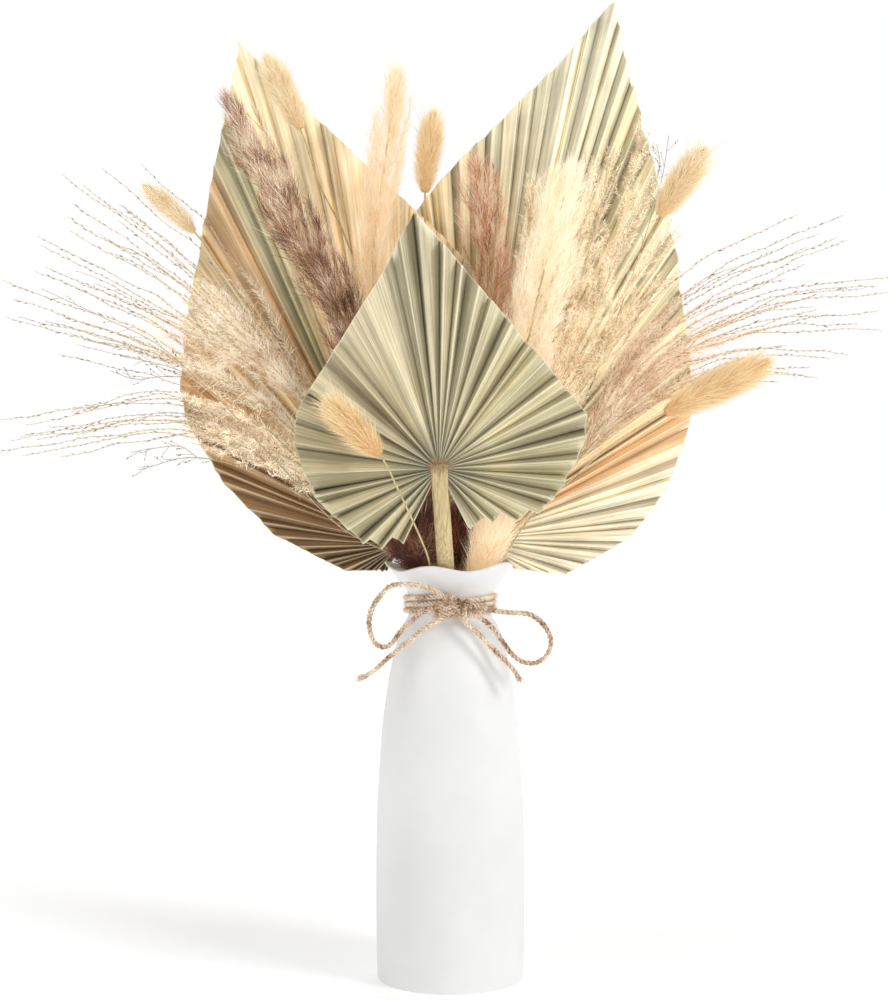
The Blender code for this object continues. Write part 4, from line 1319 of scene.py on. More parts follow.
def hair_tree():
    """Hairs all along every line. They lean away from the line, and toward its far end."""
    inputs = {
        "Hairs": "Collection",
        "Spacing": "Float",
        "Lean": "Float",
        "Tip Lean": "Float",
        "Core": "Float",
        "Shortest": "Float",
        "Stray": "Float",
        "Seed": "Int",
        "Material": "Material",
    }
    tree, given = new_tree("hairs along lines", inputs)

    def dice(low, high, number):
        return chance(tree, low, high, reckon(tree, "ADD", given["Seed"], number))

    def carried(name):
        return wire(tree, "GeometryNodeInputNamedAttribute", {"Name": name}).outputs[0]

    def scaled(vector, size):
        settings = {0: vector, "Scale": size}
        return wire(tree, "ShaderNodeVectorMath", settings, operation="SCALE").outputs[0]

    def added(a, b):
        return wire(tree, "ShaderNodeVectorMath", {0: a, 1: b}, operation="ADD").outputs[0]

    curve = wire(tree, "GeometryNodeMeshToCurve", {"Mesh": given["Geometry"]}).outputs[0]
    settings = {"Curve": curve, "Length": given["Spacing"]}
    dotted = wire(tree, "GeometryNodeCurveToPoints", settings, mode="LENGTH")
    bald = reckon(tree, "LESS_THAN", carried("swell"), 0.0002)
    settings = {"Geometry": dotted.outputs["Points"], "Selection": bald}
    points = wire(tree, "GeometryNodeDeleteGeometry", settings).outputs[0]
    settings = {
        "Vector": dotted.outputs["Normal"],
        "Axis": dotted.outputs["Tangent"],
        "Angle": dice(0.0, math.tau, 1),
    }
    turned = wire(tree, "ShaderNodeVectorRotate", settings, rotation_type="AXIS_ANGLE")
    outward = turned.outputs[0]
    change = reckon(tree, "SUBTRACT", given["Tip Lean"], given["Lean"])
    lean = reckon(tree, "MULTIPLY", change, carried("place"))
    lean = reckon(tree, "ADD", lean, given["Lean"])
    lean = reckon(tree, "MULTIPLY", lean, dice(0.65, 1.35, 2))
    core = reckon(tree, "MULTIPLY", carried("swell"), given["Core"])
    core = reckon(tree, "MULTIPLY", core, reckon(tree, "POWER", dice(0.0, 1.0, 3), 0.5))
    stands = reckon(tree, "SUBTRACT", carried("swell"), core)
    rise = reckon(tree, "MAXIMUM", reckon(tree, "SINE", lean), 0.2)
    length = reckon(tree, "DIVIDE", stands, rise)
    length = reckon(tree, "MULTIPLY", length, dice(given["Shortest"], 1.1, 4))
    points = stored(tree, points, "tone", dice(0.0, 1.0, 5))
    settings = {"Geometry": points, "Offset": scaled(outward, core)}
    points = wire(tree, "GeometryNodeSetPosition", settings).outputs[0]
    forward = scaled(dotted.outputs["Tangent"], reckon(tree, "COSINE", lean))
    way = added(forward, scaled(outward, reckon(tree, "SINE", lean)))
    number = reckon(tree, "ADD", given["Seed"], 6)
    settings = {0: (-1, -1, -1), 1: (1, 1, 1), "Seed": number}
    stray = wire(tree, "FunctionNodeRandomValue", settings)
    stray.data_type = "FLOAT_VECTOR"
    way = added(way, scaled(stray.outputs[0], given["Stray"]))
    aim = wire(tree, "FunctionNodeAlignRotationToVector", {"Vector": way}, axis="Z").outputs[0]
    settings = {"Axis": (0, 0, 1), "Angle": dice(0.0, math.tau, 7)}
    spin = wire(tree, "FunctionNodeAxisAngleToRotation", settings).outputs[0]
    settings = {"Rotation": aim, "Rotate By": spin}
    turned = wire(tree, "FunctionNodeRotateRotation", settings, rotation_space="LOCAL").outputs[0]
    kit = {"Collection": given["Hairs"], "Separate Children": True, "Reset Children": True}
    kit = wire(tree, "GeometryNodeCollectionInfo", kit).outputs[0]
    settings = {
        "Points": points,
        "Instance": kit,
        "Pick Instance": True,
        "Rotation": turned,
        "Scale": length,
    }
    hairs = wire(tree, "GeometryNodeInstanceOnPoints", settings).outputs[0]
    close_tree(tree, hairs, given["Material"])
    return tree


def hair_group():
    """How pale a hair is: more to its tip, with a tone of its own and one of its tuft, which on the
    plumes carries painted shade at the foot.
    """
    tree = bpy.data.node_groups.new("dry hair", "ShaderNodeTree")
    for label in ("Along", "Tone", "Tuft", "Patches"):
        tree.interface.new_socket(label, in_out="INPUT", socket_type="NodeSocketFloat")
    tree.interface.new_socket("Paleness", in_out="OUTPUT", socket_type="NodeSocketFloat")
    given = tree.nodes.new("NodeGroupInput").outputs
    spot = wire(tree, "ShaderNodeTexCoord").outputs["Object"]
    patch = wire(tree, "ShaderNodeTexNoise", {"Vector": spot, "Scale": 75.0, "Detail": 2.0})
    patch = reckon(tree, "SUBTRACT", patch.outputs["Fac"], 0.5)
    patch = reckon(tree, "MULTIPLY", patch, given["Patches"])
    value = reckon(tree, "MULTIPLY", given["Along"], 0.42)
    own = reckon(tree, "MULTIPLY", reckon(tree, "SUBTRACT", given["Tone"], 0.2), 0.5)
    value = reckon(tree, "ADD", value, own)
    value = reckon(tree, "ADD", value, reckon(tree, "MULTIPLY", given["Tuft"], 0.3))
    value = reckon(tree, "ADD", value, patch)
    wire(tree, "NodeGroupOutput", {"Paleness": value})
    return tree


silky_hairs = hair_tree()
dry_hair = hair_group()
long_hairs = fibre_kit("long_hair", 0.021, ((0.14, 0.03), (-0.2, 0.05), (0.3, -0.07), (-0.06, -0.05)))


def hair_material(name, colours, glow=0.1, patches=0.6, roughness=0.6):
    """Dry hairs that glow a little in their own colour: painted light for the light that comes through
    thin hairs.
    """
    made, tree, surface = blank_material(name, roughness)
    group = tree.nodes.new("ShaderNodeGroup")
    group.node_tree = dry_hair
    for label, mark in (("Along", "along"), ("Tone", "tone"), ("Tuft", "tuft")):
        tree.links.new(reading(tree, mark), group.inputs[label])
    group.inputs["Patches"].default_value = patches
    colour = ramp(tree, group.outputs["Paleness"], colours)
    tree.links.new(colour, surface.inputs["Base Color"])
    # Painted light: the hairs glow in their own colour, for light that shines through them.
    tree.links.new(colour, surface.inputs["Emission Color"])
    surface.inputs["Emission Strength"].default_value = glow
    return made


def head_path(shape):
    """The stalk's whole way in steps of 1 mm, and the number of the step where its head begins."""
    fine = smooth_route([*up_the_vase(shape["neck"]), *shape["route"]], 1.0)
    return fine, len(fine) - 1 - round(shape["head"])


def side_branches(shape, hair, chooser):
    """The branches lie up along the head, and each one stands out to its own depth."""
    fine, foot = head_path(shape)
    top = len(fine) - 1
    lines = []
    tufts = []
    for number in range(-hair["skirt"], hair["branches"]):
        start = 0.96 * (number + chooser.random()) / hair["branches"] - 0.03
        if number < 0:
            start = -chooser.uniform(1.0, 10.0) / shape["head"]
        reach = hair["branch"] * chooser.uniform(0.7, 1.15) / shape["head"]
        room = 1.0 - chooser.uniform(2.0, 9.0) / shape["head"]
        end = min(start + reach, room)
        widest = max(knots_at(shape["swell"], 0.5 * (start + end)), hair["foot"] * (1.0 - end) ** 2)
        depth = shape["radius"] * hair["fluff"] * widest * math.sqrt(chooser.uniform(0.12, 1.0))
        depth = max(depth - 0.5 * hair["stand"], 0.0)
        depth *= 1.0 - 0.6 * ease(end, 1.0 - 9.0 / shape["head"], 1.0 - 2.0 / shape["head"])
        turn = chooser.uniform(0.0, math.tau)
        if number < 0:
            depth = max(depth, chooser.uniform(0.5, 1.0) * hair["skirt_reach"])
            turn = hair["skirt_side"] + chooser.uniform(-2.8, 2.8)
        route = []
        for i in range(9):
            share = i / 8
            step = foot + (start + (end - start) * share) * (top - foot)
            low = min(int(max(step, 0)), top - 1)
            point = fine[low].lerp(fine[low + 1], step - low)
            ahead = (fine[low + 1] - fine[low]).normalized()
            side = ahead.cross(Vector((0, -1, 0))).normalized()
            front = side.cross(ahead)
            out = side * math.cos(turn) + front * math.sin(turn)
            route.append(point + out * depth * (1.0 - (1.0 - share) ** 2.4))
        swell = [hair["stand"] * (0.5 + 0.6 * math.sin(math.pi * (i / 8) ** 0.8)) for i in range(9)]
        lines.append((route, swell, [0.16] * 9))
        # Branches toward the tip are paler, and those at the foot, down in the vase's mouth, get
        # painted shade.
        lit = hair["lit"] * ease(start, 0.4, 0.85)
        lit -= hair["painted_foot_shade"] * (1.0 - ease(start, -0.04, 0.16))
        tufts.append(chooser.random() + lit)
    return lines, tufts


def stem_line(fine, foot, thick, tip):
    """A stalk from the vase's floor to its end, thinning from where its head begins."""
    last = len(fine) - 1
    route = [fine[i] for i in range(0, last, 4)] + [fine[last]]
    steps = [*range(0, last, 4), last]
    radii = [thick + (tip - thick) * ease(i, foot, last) for i in steps]
    return route, [0.0] * len(route), radii


for name, shape in PLUMES.items():
    hair = PLUME_HAIR[name]
    chooser = random.Random(name)
    fine, foot = head_path(shape)
    stalk = line_object(name + "_stalk", [stem_line(fine[:-8], foot, PLUME_STALK, 0.3)])
    settle(grow(stalk, bare_stalk, {"Sides": 10, "Material": straw}), name, name)
    lines, tufts = side_branches(shape, hair, chooser)
    values = {
        "Hairs": long_hairs,
        "Spacing": 0.24 * MM,
        "Lean": 0.5,
        "Tip Lean": 0.34,
        "Core": 0.1,
        "Shortest": 0.45,
        "Stray": 0.1,
        "Seed": 40,
        "Material": hair_material(name, hair["colours"], hair["glow"], hair["patches"]),
    }
    hairs = grow(line_object(name + "_hair", lines, tuft=tufts), silky_hairs, values)
    settle(hairs, name)


# Six bunny tails: a wiry stem with one soft egg-shaped head of fine hairs that all point to its
# tip. They are picked pale green and dry to a golden cream.
TAILS = {
    "bunny_tail_far_left": {
        "neck": (-11.6, 8.0),
        "route": (
            (-17.0, 11.4, 199.0),
            (-33.0, 13.0, 222.0),
            (-54.0, 15.0, 252.0),
            (-88.0, 16.0, 306.0),
            (-114.5, 15.0, 344.0),
            (-125.0, 13.0, 359.0),
            (-149.0, 10.0, 381.0),
        ),
        "head": 33.0,
        "radius": 5.6,
    },
    "bunny_tail_left": {
        "neck": (-5.2, 7.0),
        "route": (
            (-7.8, 11.0, 200.0),
            (-14.0, 13.4, 222.0),
            (-28.0, 15.0, 270.0),
            (-47.8, 16.0, 347.0),
            (-63.3, 13.0, 381.0),
            (-73.0, 10.0, 409.0),
            (-89.5, 8.0, 443.5),
        ),
        "head": 39.0,
        "radius": 7.0,
    },
    "bunny_tail_centre": {
        "neck": (-0.4, 7.6),
        "route": (
            (-1.2, 10.6, 204.0),
            (-6.9, 12.0, 262.0),
            (-10.8, 12.0, 325.0),
            (-12.2, 9.0, 377.0),
            (-7.8, 8.0, 416.0),
        ),
        "head": 39.0,
        "radius": 6.4,
    },
    "bunny_tail_right": {
        "neck": (11.3, 8.0),
        "route": (
            (16.0, 10.8, 199.0),
            (31.0, 15.0, 222.0),
            (59.0, 20.0, 277.0),
            (86.0, 20.0, 331.0),
            (102.0, 14.0, 366.0),
            (123.5, 8.0, 397.5),
        ),
        "head": 38.0,
        "radius": 8.0,
    },
    "bunny_tail_far_right": {
        "neck": (13.4, -5.6),
        "route": (
            (24.6, -12.4, 200.0),
            (36.0, -23.0, 218.0),
            (51.0, -28.0, 233.0),
            (74.0, -29.0, 253.0),
            (99.0, -26.0, 268.0),
            (123.4, -24.0, 280.0),
            (148.5, -22.0, 292.5),
        ),
        "head": 54.0,
        "radius": 8.2,
    },
    "bunny_tail_front": {
        "neck": (-9.2, -11.2),
        "route": (
            (-9.6, -23.0, 196.0),
            (-10.6, -28.6, 202.0),
            (-13.6, -35.0, 210.0),
            (-18.0, -40.0, 220.0),
            (-24.0, -43.6, 233.0),
            (-31.7, -46.0, 248.0),
            (-44.0, -49.0, 260.5),
            (-56.0, -51.0, 272.5),
        ),
        "head": 34.0,
        "radius": 7.2,
    },
}
TAIL_HAIR = {
    "bunny_tail_far_left": {"hairs": 4500, "lean": 0.6, "stand": 1.2, "warmth": 0.0},
    "bunny_tail_left": {"hairs": 5000, "lean": 0.6, "stand": 1.25, "warmth": 0.2},
    "bunny_tail_centre": {"hairs": 5000, "lean": 0.55, "stand": 1.25, "warmth": 0.8},
    "bunny_tail_right": {"hairs": 5500, "lean": 0.55, "stand": 1.2, "warmth": 0.3},
    "bunny_tail_far_right": {"hairs": 6500, "lean": 0.5, "stand": 1.2, "warmth": 1.0},
    "bunny_tail_front": {"hairs": 3600, "lean": 0.5, "stand": 1.3, "warmth": 0.9},
}
TAIL_SWELL = ((0.0, 0.5), (0.12, 0.86), (0.35, 1.0), (0.65, 0.95), (0.88, 0.7), (1.0, 0.3))
TAIL_STEM = 0.42
TAIL_STEP = 1.5
fine_hairs = fibre_kit("fine_hair", 0.022, ((0.1, 0.02), (-0.12, 0.04), (0.2, -0.03)))


def tail_colours(warmth):
    """From the roots to the tips of the hairs, paler or more orange."""
    stops = []
    pale = ((0.1, (216, 188, 144)), (0.4, (248, 234, 200)), (0.9, (255, 251, 238)))
    warm = ((0.1, (206, 162, 106)), (0.4, (240, 212, 158)), (0.9, (254, 240, 204)))
    for (place, a), (_, b) in zip(pale, warm):
        stops.append((place, tint(*(p + (q - p) * warmth for p, q in zip(a, b)))))
    return tuple(stops)


for name, shape in TAILS.items():
    hair = TAIL_HAIR[name]
    fine, foot = head_path(shape)
    finish = hair_material(name, tail_colours(hair["warmth"]), glow=0.1, patches=0.5)
    stem = line_object(name + "_stem", [stem_line(fine, foot, TAIL_STEM, 0.3)])
    settle(grow(stem, bare_stalk, {"Sides": 8, "Material": straw}), "bunny_tail", name)
    steps = round(shape["head"] / TAIL_STEP)
    head = [fine[foot + round(i * (len(fine) - 1 - foot) / steps)] for i in range(steps + 1)]
    girth = [shape["radius"] * knots_at(TAIL_SWELL, i / steps) for i in range(steps + 1)]
    core = line_object(name + "_core", [(head, girth, [0.55 * g for g in girth])], tuft=[0.3])
    settle(grow(core, bare_stalk, {"Sides": 14, "Material": finish}), "bunny_tail")
    shorter = [1.0 - 0.45 * ease(i / steps, 0.6, 1.0) for i in range(steps + 1)]
    stand = [hair["stand"] * g * s for g, s in zip(girth, shorter)]
    fur = line_object(name + "_hair", [(head, stand, girth)], tuft=[0.5])
    values = {
        "Hairs": fine_hairs,
        "Spacing": shape["head"] / hair["hairs"] * MM,
        "Lean": hair["lean"] * 1.4,
        "Tip Lean": hair["lean"] * 0.7,
        "Core": 0.6,
        "Shortest": 0.5,
        "Stray": 0.12,
        "Seed": 50,
        "Material": finish,
    }
    settle(grow(fur, silky_hairs, values), "bunny_tail")


# Three sprays of silver grass. From the top of each stalk thin shoots fan out and arch over: their
# inner halves are silky with seed hairs, and small dark husks sit on alternate sides of the rest.
SILVER = {
    "silver_grass_left_upper": {
        "neck": (-11.6, 4.6),
        "route": (
            (-17.4, 6.4, 199.0),
            (-38.0, 3.0, 229.0),
            (-60.0, 0.0, 262.0),
            (-82.0, -2.0, 290.0),
            (-104.0, -4.0, 312.0),
        ),
        "shoots": (
            (0.50, (-90.0, 2.0, 312.0), (-118.0, 6.0, 345.0), (-169.0, 12.0, 389.0), 3.4),
            (0.58, (-101.0, -9.0, 314.0), (-130.0, -14.0, 342.0), (-181.0, -22.0, 380.0), 3.6),
            (0.66, (-106.0, -2.0, 312.0), (-137.0, 2.0, 337.0), (-186.0, 14.0, 366.0), 3.4),
            (0.74, (-110.0, -12.0, 305.0), (-144.0, -20.0, 327.0), (-189.0, -34.0, 349.0), 3.4),
            (0.82, (-113.0, 3.0, 301.0), (-149.0, 8.0, 319.0), (-198.0, 18.0, 342.0), 3.2),
            (0.90, (-116.0, -10.0, 293.0), (-150.0, -16.0, 309.0), (-208.0, -24.0, 330.0), 3.2),
        ),
    },
    "silver_grass_left_lower": {
        "neck": (-12.6, -1.6),
        "route": (
            (-19.0, -2.2, 199.0),
            (-42.0, -6.0, 226.0),
            (-66.0, -9.0, 253.0),
            (-90.0, -11.0, 272.0),
            (-112.0, -12.0, 283.0),
        ),
        "shoots": (
            (0.52, (-92.0, -3.0, 279.0), (-125.0, -3.5, 293.0), (-192.0, -4.0, 313.0), 2.8),
            (0.62, (-98.0, -17.0, 280.0), (-134.0, -24.0, 294.0), (-204.0, -30.0, 312.0), 3.2),
            (0.46, (-95.0, -14.0, 262.0), (-134.0, -20.0, 275.0), (-196.0, -26.0, 263.0), 2.4),
            (0.40, (-96.0, -6.0, 256.0), (-134.0, 0.0, 267.0), (-212.0, 12.0, 257.0), 2.0),
            (0.34, (-94.0, -15.0, 248.0), (-132.0, -18.0, 261.0), (-214.0, -24.0, 250.0), 2.0),
        ),
    },
    "silver_grass_right": {
        "neck": (12.6, -0.8),
        "route": (
            (18.8, -1.4, 199.0),
            (42.0, -4.0, 226.0),
            (67.0, -4.0, 253.0),
            (88.0, -3.0, 274.0),
            (108.0, -2.0, 290.0),
        ),
        "shoots": (
            (0.46, (84.0, 2.0, 297.0), (118.0, 8.0, 331.0), (180.0, 18.0, 358.0), 3.0),
            (0.52, (88.0, -10.0, 299.0), (123.0, -18.0, 328.0), (178.0, -32.0, 349.0), 3.0),
            (0.56, (93.0, 4.0, 299.0), (131.0, 12.0, 328.0), (197.0, 30.0, 357.0), 3.0),
            (0.62, (97.0, -11.0, 298.0), (140.0, -20.0, 322.0), (207.0, -34.0, 331.0), 3.2),
            (0.68, (101.0, 4.0, 297.0), (138.0, 12.0, 314.0), (181.0, 22.0, 329.0), 3.0),
            (0.74, (105.0, -12.0, 296.0), (152.0, -20.0, 320.0), (202.0, -30.0, 324.0), 3.2),
            (0.80, (108.0, 3.0, 295.0), (153.0, 8.0, 311.0), (186.0, 12.0, 318.0), 3.0),
            (0.86, (114.0, -8.0, 297.0), (155.0, -12.0, 308.0), (202.0, -16.0, 308.0), 3.0),
            (0.78, (112.0, 2.0, 286.0), (142.0, 6.0, 296.0), (183.0, 10.0, 297.0), 2.6),
            (0.66, (104.0, -4.0, 278.0), (131.0, -4.0, 290.0), (170.0, -5.0, 291.0), 2.6),
        ),
    },
}
SILVER_LOOKS = {
    "silver_grass_left_upper": {
        "companions": 3,
        "spread": 13.0,
        "silk": 5.0,
        "hooked": False,
        "colours": (
            (0.1, tint(168, 134, 100)),
            (0.28, tint(230, 208, 174)),
            (0.55, tint(253, 246, 230)),
        ),
    },
    "silver_grass_left_lower": {
        "companions": 3,
        "spread": 12.0,
        "silk": 4.6,
        "hooked": True,
        "colours": (
            (0.1, tint(146, 110, 76)),
            (0.28, tint(218, 190, 152)),
            (0.55, tint(253, 244, 224)),
        ),
    },
    "silver_grass_right": {
        "companions": 2,
        "spread": 13.0,
        "silk": 4.4,
        "hooked": False,
        "colours": (
            (0.1, tint(176, 134, 98)),
            (0.3, tint(226, 194, 160)),
            (0.6, tint(251, 238, 216)),
        ),
    },
}
GRASS_STALK = 1.2
SHOOT_STEP = 2.5
SILK_REACH = ((0.0, 0.4), (0.1, 0.9), (0.3, 1.0), (0.46, 0.8), (0.56, 0.4), (0.64, 0.0))
HUSK_REACH = ((0.0, 0.5), (0.3, 0.8), (0.5, 1.0), (0.95, 1.0), (1.0, 0.6))
HUSK_STAND = 0.95
HUSK_GAP = 3.0
WAVER = 1.1


def stalk_path(shape):
    """A grass stalk's whole way, and the number of the step where it leaves the vase."""
    path = smooth_route([*up_the_vase(shape["neck"]), *shape["route"]], 4.0)
    return path, min(i for i, point in enumerate(path) if point.z > RIM_HEIGHT)


def fan_shoots(shape, look, chooser):
    """Each shoot and its companions, from the stalk out to their thin ends."""
    path, mouth = stalk_path(shape)
    last = len(path) - 1
    routes = []
    for root, *points, _ in shape["shoots"]:
        for number in range(1 + look["companions"]):
            own = min(number, 1)
            place = mouth + (last - mouth) * min(root + own * chooser.uniform(-0.12, 0.08), 1.0)
            low = min(int(place), last - 1)
            start = path[low].lerp(path[low + 1], place - low)
            drift = Vector(chooser.uniform(-1, 1) for _ in range(3)) * look["spread"] * own
            bent = [start]
            for share, point in zip((0.45, 0.8, 1.1), points):
                bent.append(Vector(point) + drift * share)
            if own:
                bent[-1] = bent[-2].lerp(bent[-1], chooser.uniform(0.55, 0.98))
            bends = smooth_route(bent, 14.0)
            for point in bends[1:-1]:
                point += Vector(chooser.uniform(-1, 1) for _ in range(3)) * WAVER
            routes.append(smooth_route(bends, SHOOT_STEP))
    return routes


def husk_kit(name, width):
    """One small husk, 1 long: three-sided, widest near its foot, and pointed."""
    kit = bpy.data.collections.new(name)
    points = [(0.0, 0.0, 0.0)]
    for side in range(3):
        angle = math.tau * side / 3
        points.append((0.5 * width * math.cos(angle), 0.5 * width * math.sin(angle), 0.4))
    points.append((0.0, 0.0, 1.0))
    faces = []
    for side in range(3):
        beside = (side + 1) % 3
        faces.append((0, 1 + beside, 1 + side))
        faces.append((4, 1 + side, 1 + beside))
    mesh = bpy.data.meshes.new(name)
    mesh.from_pydata(points, [], faces)
    along = [point[2] for point in points]
    mesh.attributes.new("along", "FLOAT", "POINT").data.foreach_set("value", along)
    kit.objects.link(bpy.data.objects.new(name, mesh))
    return kit


def marked_lines(routes, reach, thick_from, thick_to, size):
    """Lines whose hairs stand as far as the reach says at each place along them."""
    lines = []
    for route in routes:
        last = len(route) - 1
        swell = [size * knots_at(reach, i / last) for i in range(last + 1)]
        radii = [thick_from + (thick_to - thick_from) * i / last for i in range(last + 1)]
        lines.append((route, swell, radii))
    return lines


husks = husk_kit("husk", 0.24)
husk_finish = hair_material(
    "husks", ((0.1, tint(120, 98, 78)), (0.5, tint(182, 156, 126)), (0.9, tint(228, 208, 178))), 0.05
)
stem_finish = straw_material("grass stem", tint(186, 158, 122), tint(232, 212, 176))
silk_hairs = fibre_kit("silk_hair", 0.042, ((0.5, 0.1), (-0.45, 0.14), (0.6, -0.18), (0.1, 0.16)))
hook_hairs = fibre_kit("hook_hair", 0.055, ((0.8, 0.14), (-0.7, 0.2), (0.5, -0.3), (1.0, 0.05)), 4)

for name, shape in SILVER.items():
    look = SILVER_LOOKS[name]
    chooser = random.Random(name)
    path, mouth = stalk_path(shape)
    last = len(path) - 1
    radii = [GRASS_STALK + (0.3 - GRASS_STALK) * ease(i, mouth, last) for i in range(last + 1)]
    routes = fan_shoots(shape, look, chooser)
    shoots = marked_lines(routes, SILK_REACH, 0.26, 0.12, look["silk"])
    stems = [(path, [0.0] * len(path), radii), *shoots]
    stalk = grow(
        line_object(name + "_stalk", stems), bare_stalk, {"Sides": 5, "Material": stem_finish}
    )
    settle(stalk, name, name)
    tufts = [chooser.random() for _ in routes]
    values = {
        "Hairs": hook_hairs if look["hooked"] else silk_hairs,
        "Spacing": 0.17 * MM,
        "Lean": 0.8,
        "Tip Lean": 0.6,
        "Core": 0.1,
        "Shortest": 0.4,
        "Stray": 0.16,
        "Seed": 60,
        "Material": hair_material(name, look["colours"], glow=0.2, patches=0.9),
    }
    if look["hooked"]:
        values["Spacing"] = 0.2 * MM
        values["Lean"] = 0.95
    silk = line_object(name + "_silk", shoots, tuft=tufts)
    settle(grow(silk, silky_hairs, values), name)
    values = {
        "Hairs": husks,
        "Spacing": HUSK_GAP * MM,
        "Lean": 0.36,
        "Tip Lean": 0.36,
        "Core": 0.1,
        "Shortest": 0.8,
        "Stray": 0.05,
        "Seed": 61,
        "Material": husk_finish,
    }
    seeded = marked_lines(routes, HUSK_REACH, 0.2, 0.2, HUSK_STAND)
    seeds = line_object(name + "_husks", seeded, tuft=tufts)
    settle(grow(seeds, silky_hairs, values), name)


# Three sprays of curly grass: short side branches all along the shoots, thick with crimped awns
# that dry into hooks and curls, tan with pale tips.
CURLY = {
    "curly_grass_left": {
        "neck": (-8.4, 0.6),
        "route": (
            (-14.6, 0.6, 199.0),
            (-40.0, -18.0, 221.0),
            (-68.0, -24.0, 243.0),
            (-96.0, -26.0, 256.0),
            (-122.0, -26.0, 262.0),
        ),
        "shoots": (
            (0.55, (-86.0, -22.0, 261.0), (-104.0, -23.0, 272.0), (-126.0, -25.0, 276.0), 2.4),
            (0.40, (-78.0, -27.0, 240.0), (-96.0, -28.0, 248.0), (-118.0, -29.0, 254.0), 2.2),
        ),
    },
    "curly_grass_right": {
        "neck": (8.4, 4.2),
        "route": (
            (12.6, 5.6, 199.0),
            (30.0, 6.0, 238.0),
            (47.0, 7.0, 278.0),
            (61.0, 8.0, 324.0),
            (71.0, 10.0, 362.0),
            (78.0, 12.0, 394.0),
        ),
        "shoots": (
            (0.36, (56.0, 3.0, 314.0), (62.0, 4.0, 350.0), (68.0, 5.0, 386.0), 3.4),
            (0.42, (68.0, 14.0, 322.0), (82.0, 17.0, 362.0), (95.0, 18.0, 406.0), 3.2),
            (0.34, (66.0, 2.0, 310.0), (80.0, 0.0, 344.0), (96.0, -4.0, 375.0), 3.4),
            (0.28, (66.0, 4.0, 296.0), (84.0, 4.0, 328.0), (106.0, 2.0, 354.0), 3.2),
            (0.22, (62.0, 8.0, 282.0), (82.0, 10.0, 312.0), (105.0, 12.0, 336.0), 3.0),
        ),
    },
    "curly_grass_middle": {
        "neck": (8.0, 8.8),
        "route": (
            (12.4, 12.4, 200.0),
            (24.0, 14.0, 238.0),
            (33.0, 15.0, 278.0),
            (36.0, 14.0, 324.0),
            (40.0, 12.0, 381.0),
        ),
        "shoots": (
            (0.45, (36.0, 16.0, 306.0), (44.0, 17.0, 336.0), (52.0, 18.0, 372.0), 2.6),
        ),
    },
}
CURLY_LOOKS = {
    "curly_grass_left": {"twigs": 26, "twig": 10.0, "awn": 2.4, "lean": 1.0},
    "curly_grass_right": {"twigs": 100, "twig": 20.0, "awn": 1.8, "lean": 1.0},
    "curly_grass_middle": {"twigs": 130, "twig": 15.0, "awn": 1.8, "lean": 1.0},
}
CURLY_COLOURS = (
    (0.04, tint(104, 74, 46)),
    (0.16, tint(196, 162, 120)),
    (0.34, tint(246, 226, 190)),
    (0.65, tint(255, 249, 230)),
)
curl_hairs = fibre_kit(
    "curly_awn", 0.1, ((1.0, 0.25), (-0.9, 0.4), (0.7, -0.55), (1.3, 0.1), (-0.5, -0.5))
)
curly_finish = hair_material("curly awns", CURLY_COLOURS, glow=0.34, patches=1.0)


def curly_twigs(shape, look, chooser):
    """Every shoot with its short side branches, and all those branches' routes."""
    path, mouth = stalk_path(shape)
    last = len(path) - 1
    arms = [path[mouth + round((last - mouth) * 0.35) :]]
    for root, *points, _ in shape["shoots"]:
        start = path[mouth + round((last - mouth) * root)]
        arms.append(smooth_route([start, *points], SHOOT_STEP))
    twigs = []
    for arm in arms:
        end = len(arm) - 1
        for number in range(look["twigs"]):
            place = end * (0.06 + 0.94 * (number + chooser.random()) / look["twigs"])
            low = min(int(place), end - 1)
            start = arm[low].lerp(arm[low + 1], place - low)
            ahead = (arm[low + 1] - arm[low]).normalized()
            stray = Vector(chooser.uniform(-1, 1) for _ in range(3))
            stray -= stray.dot(ahead) * ahead
            length = look["twig"] * chooser.uniform(0.5, 1.1) * (1.1 - 0.55 * place / end)
            middle = start + (ahead + stray * 0.95).normalized() * length * 0.5
            tip = middle + (ahead * 1.2 + stray * 0.5).normalized() * length * 0.5
            twigs.append(smooth_route([start, middle, tip], 1.5))
    return arms, twigs


for name, shape in CURLY.items():
    look = CURLY_LOOKS[name]
    chooser = random.Random(name)
    path, mouth = stalk_path(shape)
    last = len(path) - 1
    radii = [GRASS_STALK + (0.4 - GRASS_STALK) * ease(i, mouth, last) for i in range(last + 1)]
    arms, twigs = curly_twigs(shape, look, chooser)
    stems = [(path, [0.0] * len(path), radii)]
    stems += marked_lines(arms, ((0.0, 0.0),), 0.5, 0.2, 0.0)
    stems += marked_lines(twigs, ((0.0, 0.0),), 0.18, 0.1, 0.0)
    stalk = grow(
        line_object(name + "_stalk", stems), bare_stalk, {"Sides": 5, "Material": stem_finish}
    )
    settle(stalk, name, name)
    tufts = [chooser.random() for _ in twigs]
    awns = marked_lines(twigs, ((0.0, 0.6), (0.4, 1.0), (1.0, 0.9)), 0.1, 0.1, look["awn"])
    values = {
        "Hairs": curl_hairs,
        "Spacing": 0.2 * MM,
        "Lean": look["lean"],
        "Tip Lean": 0.7,
        "Core": 0.1,
        "Shortest": 0.5,
        "Stray": 0.3,
        "Seed": 70,
        "Material": curly_finish,
    }
    awns = line_object(name + "_awns", awns, tuft=tufts)
    settle(grow(awns, silky_hairs, values), name)


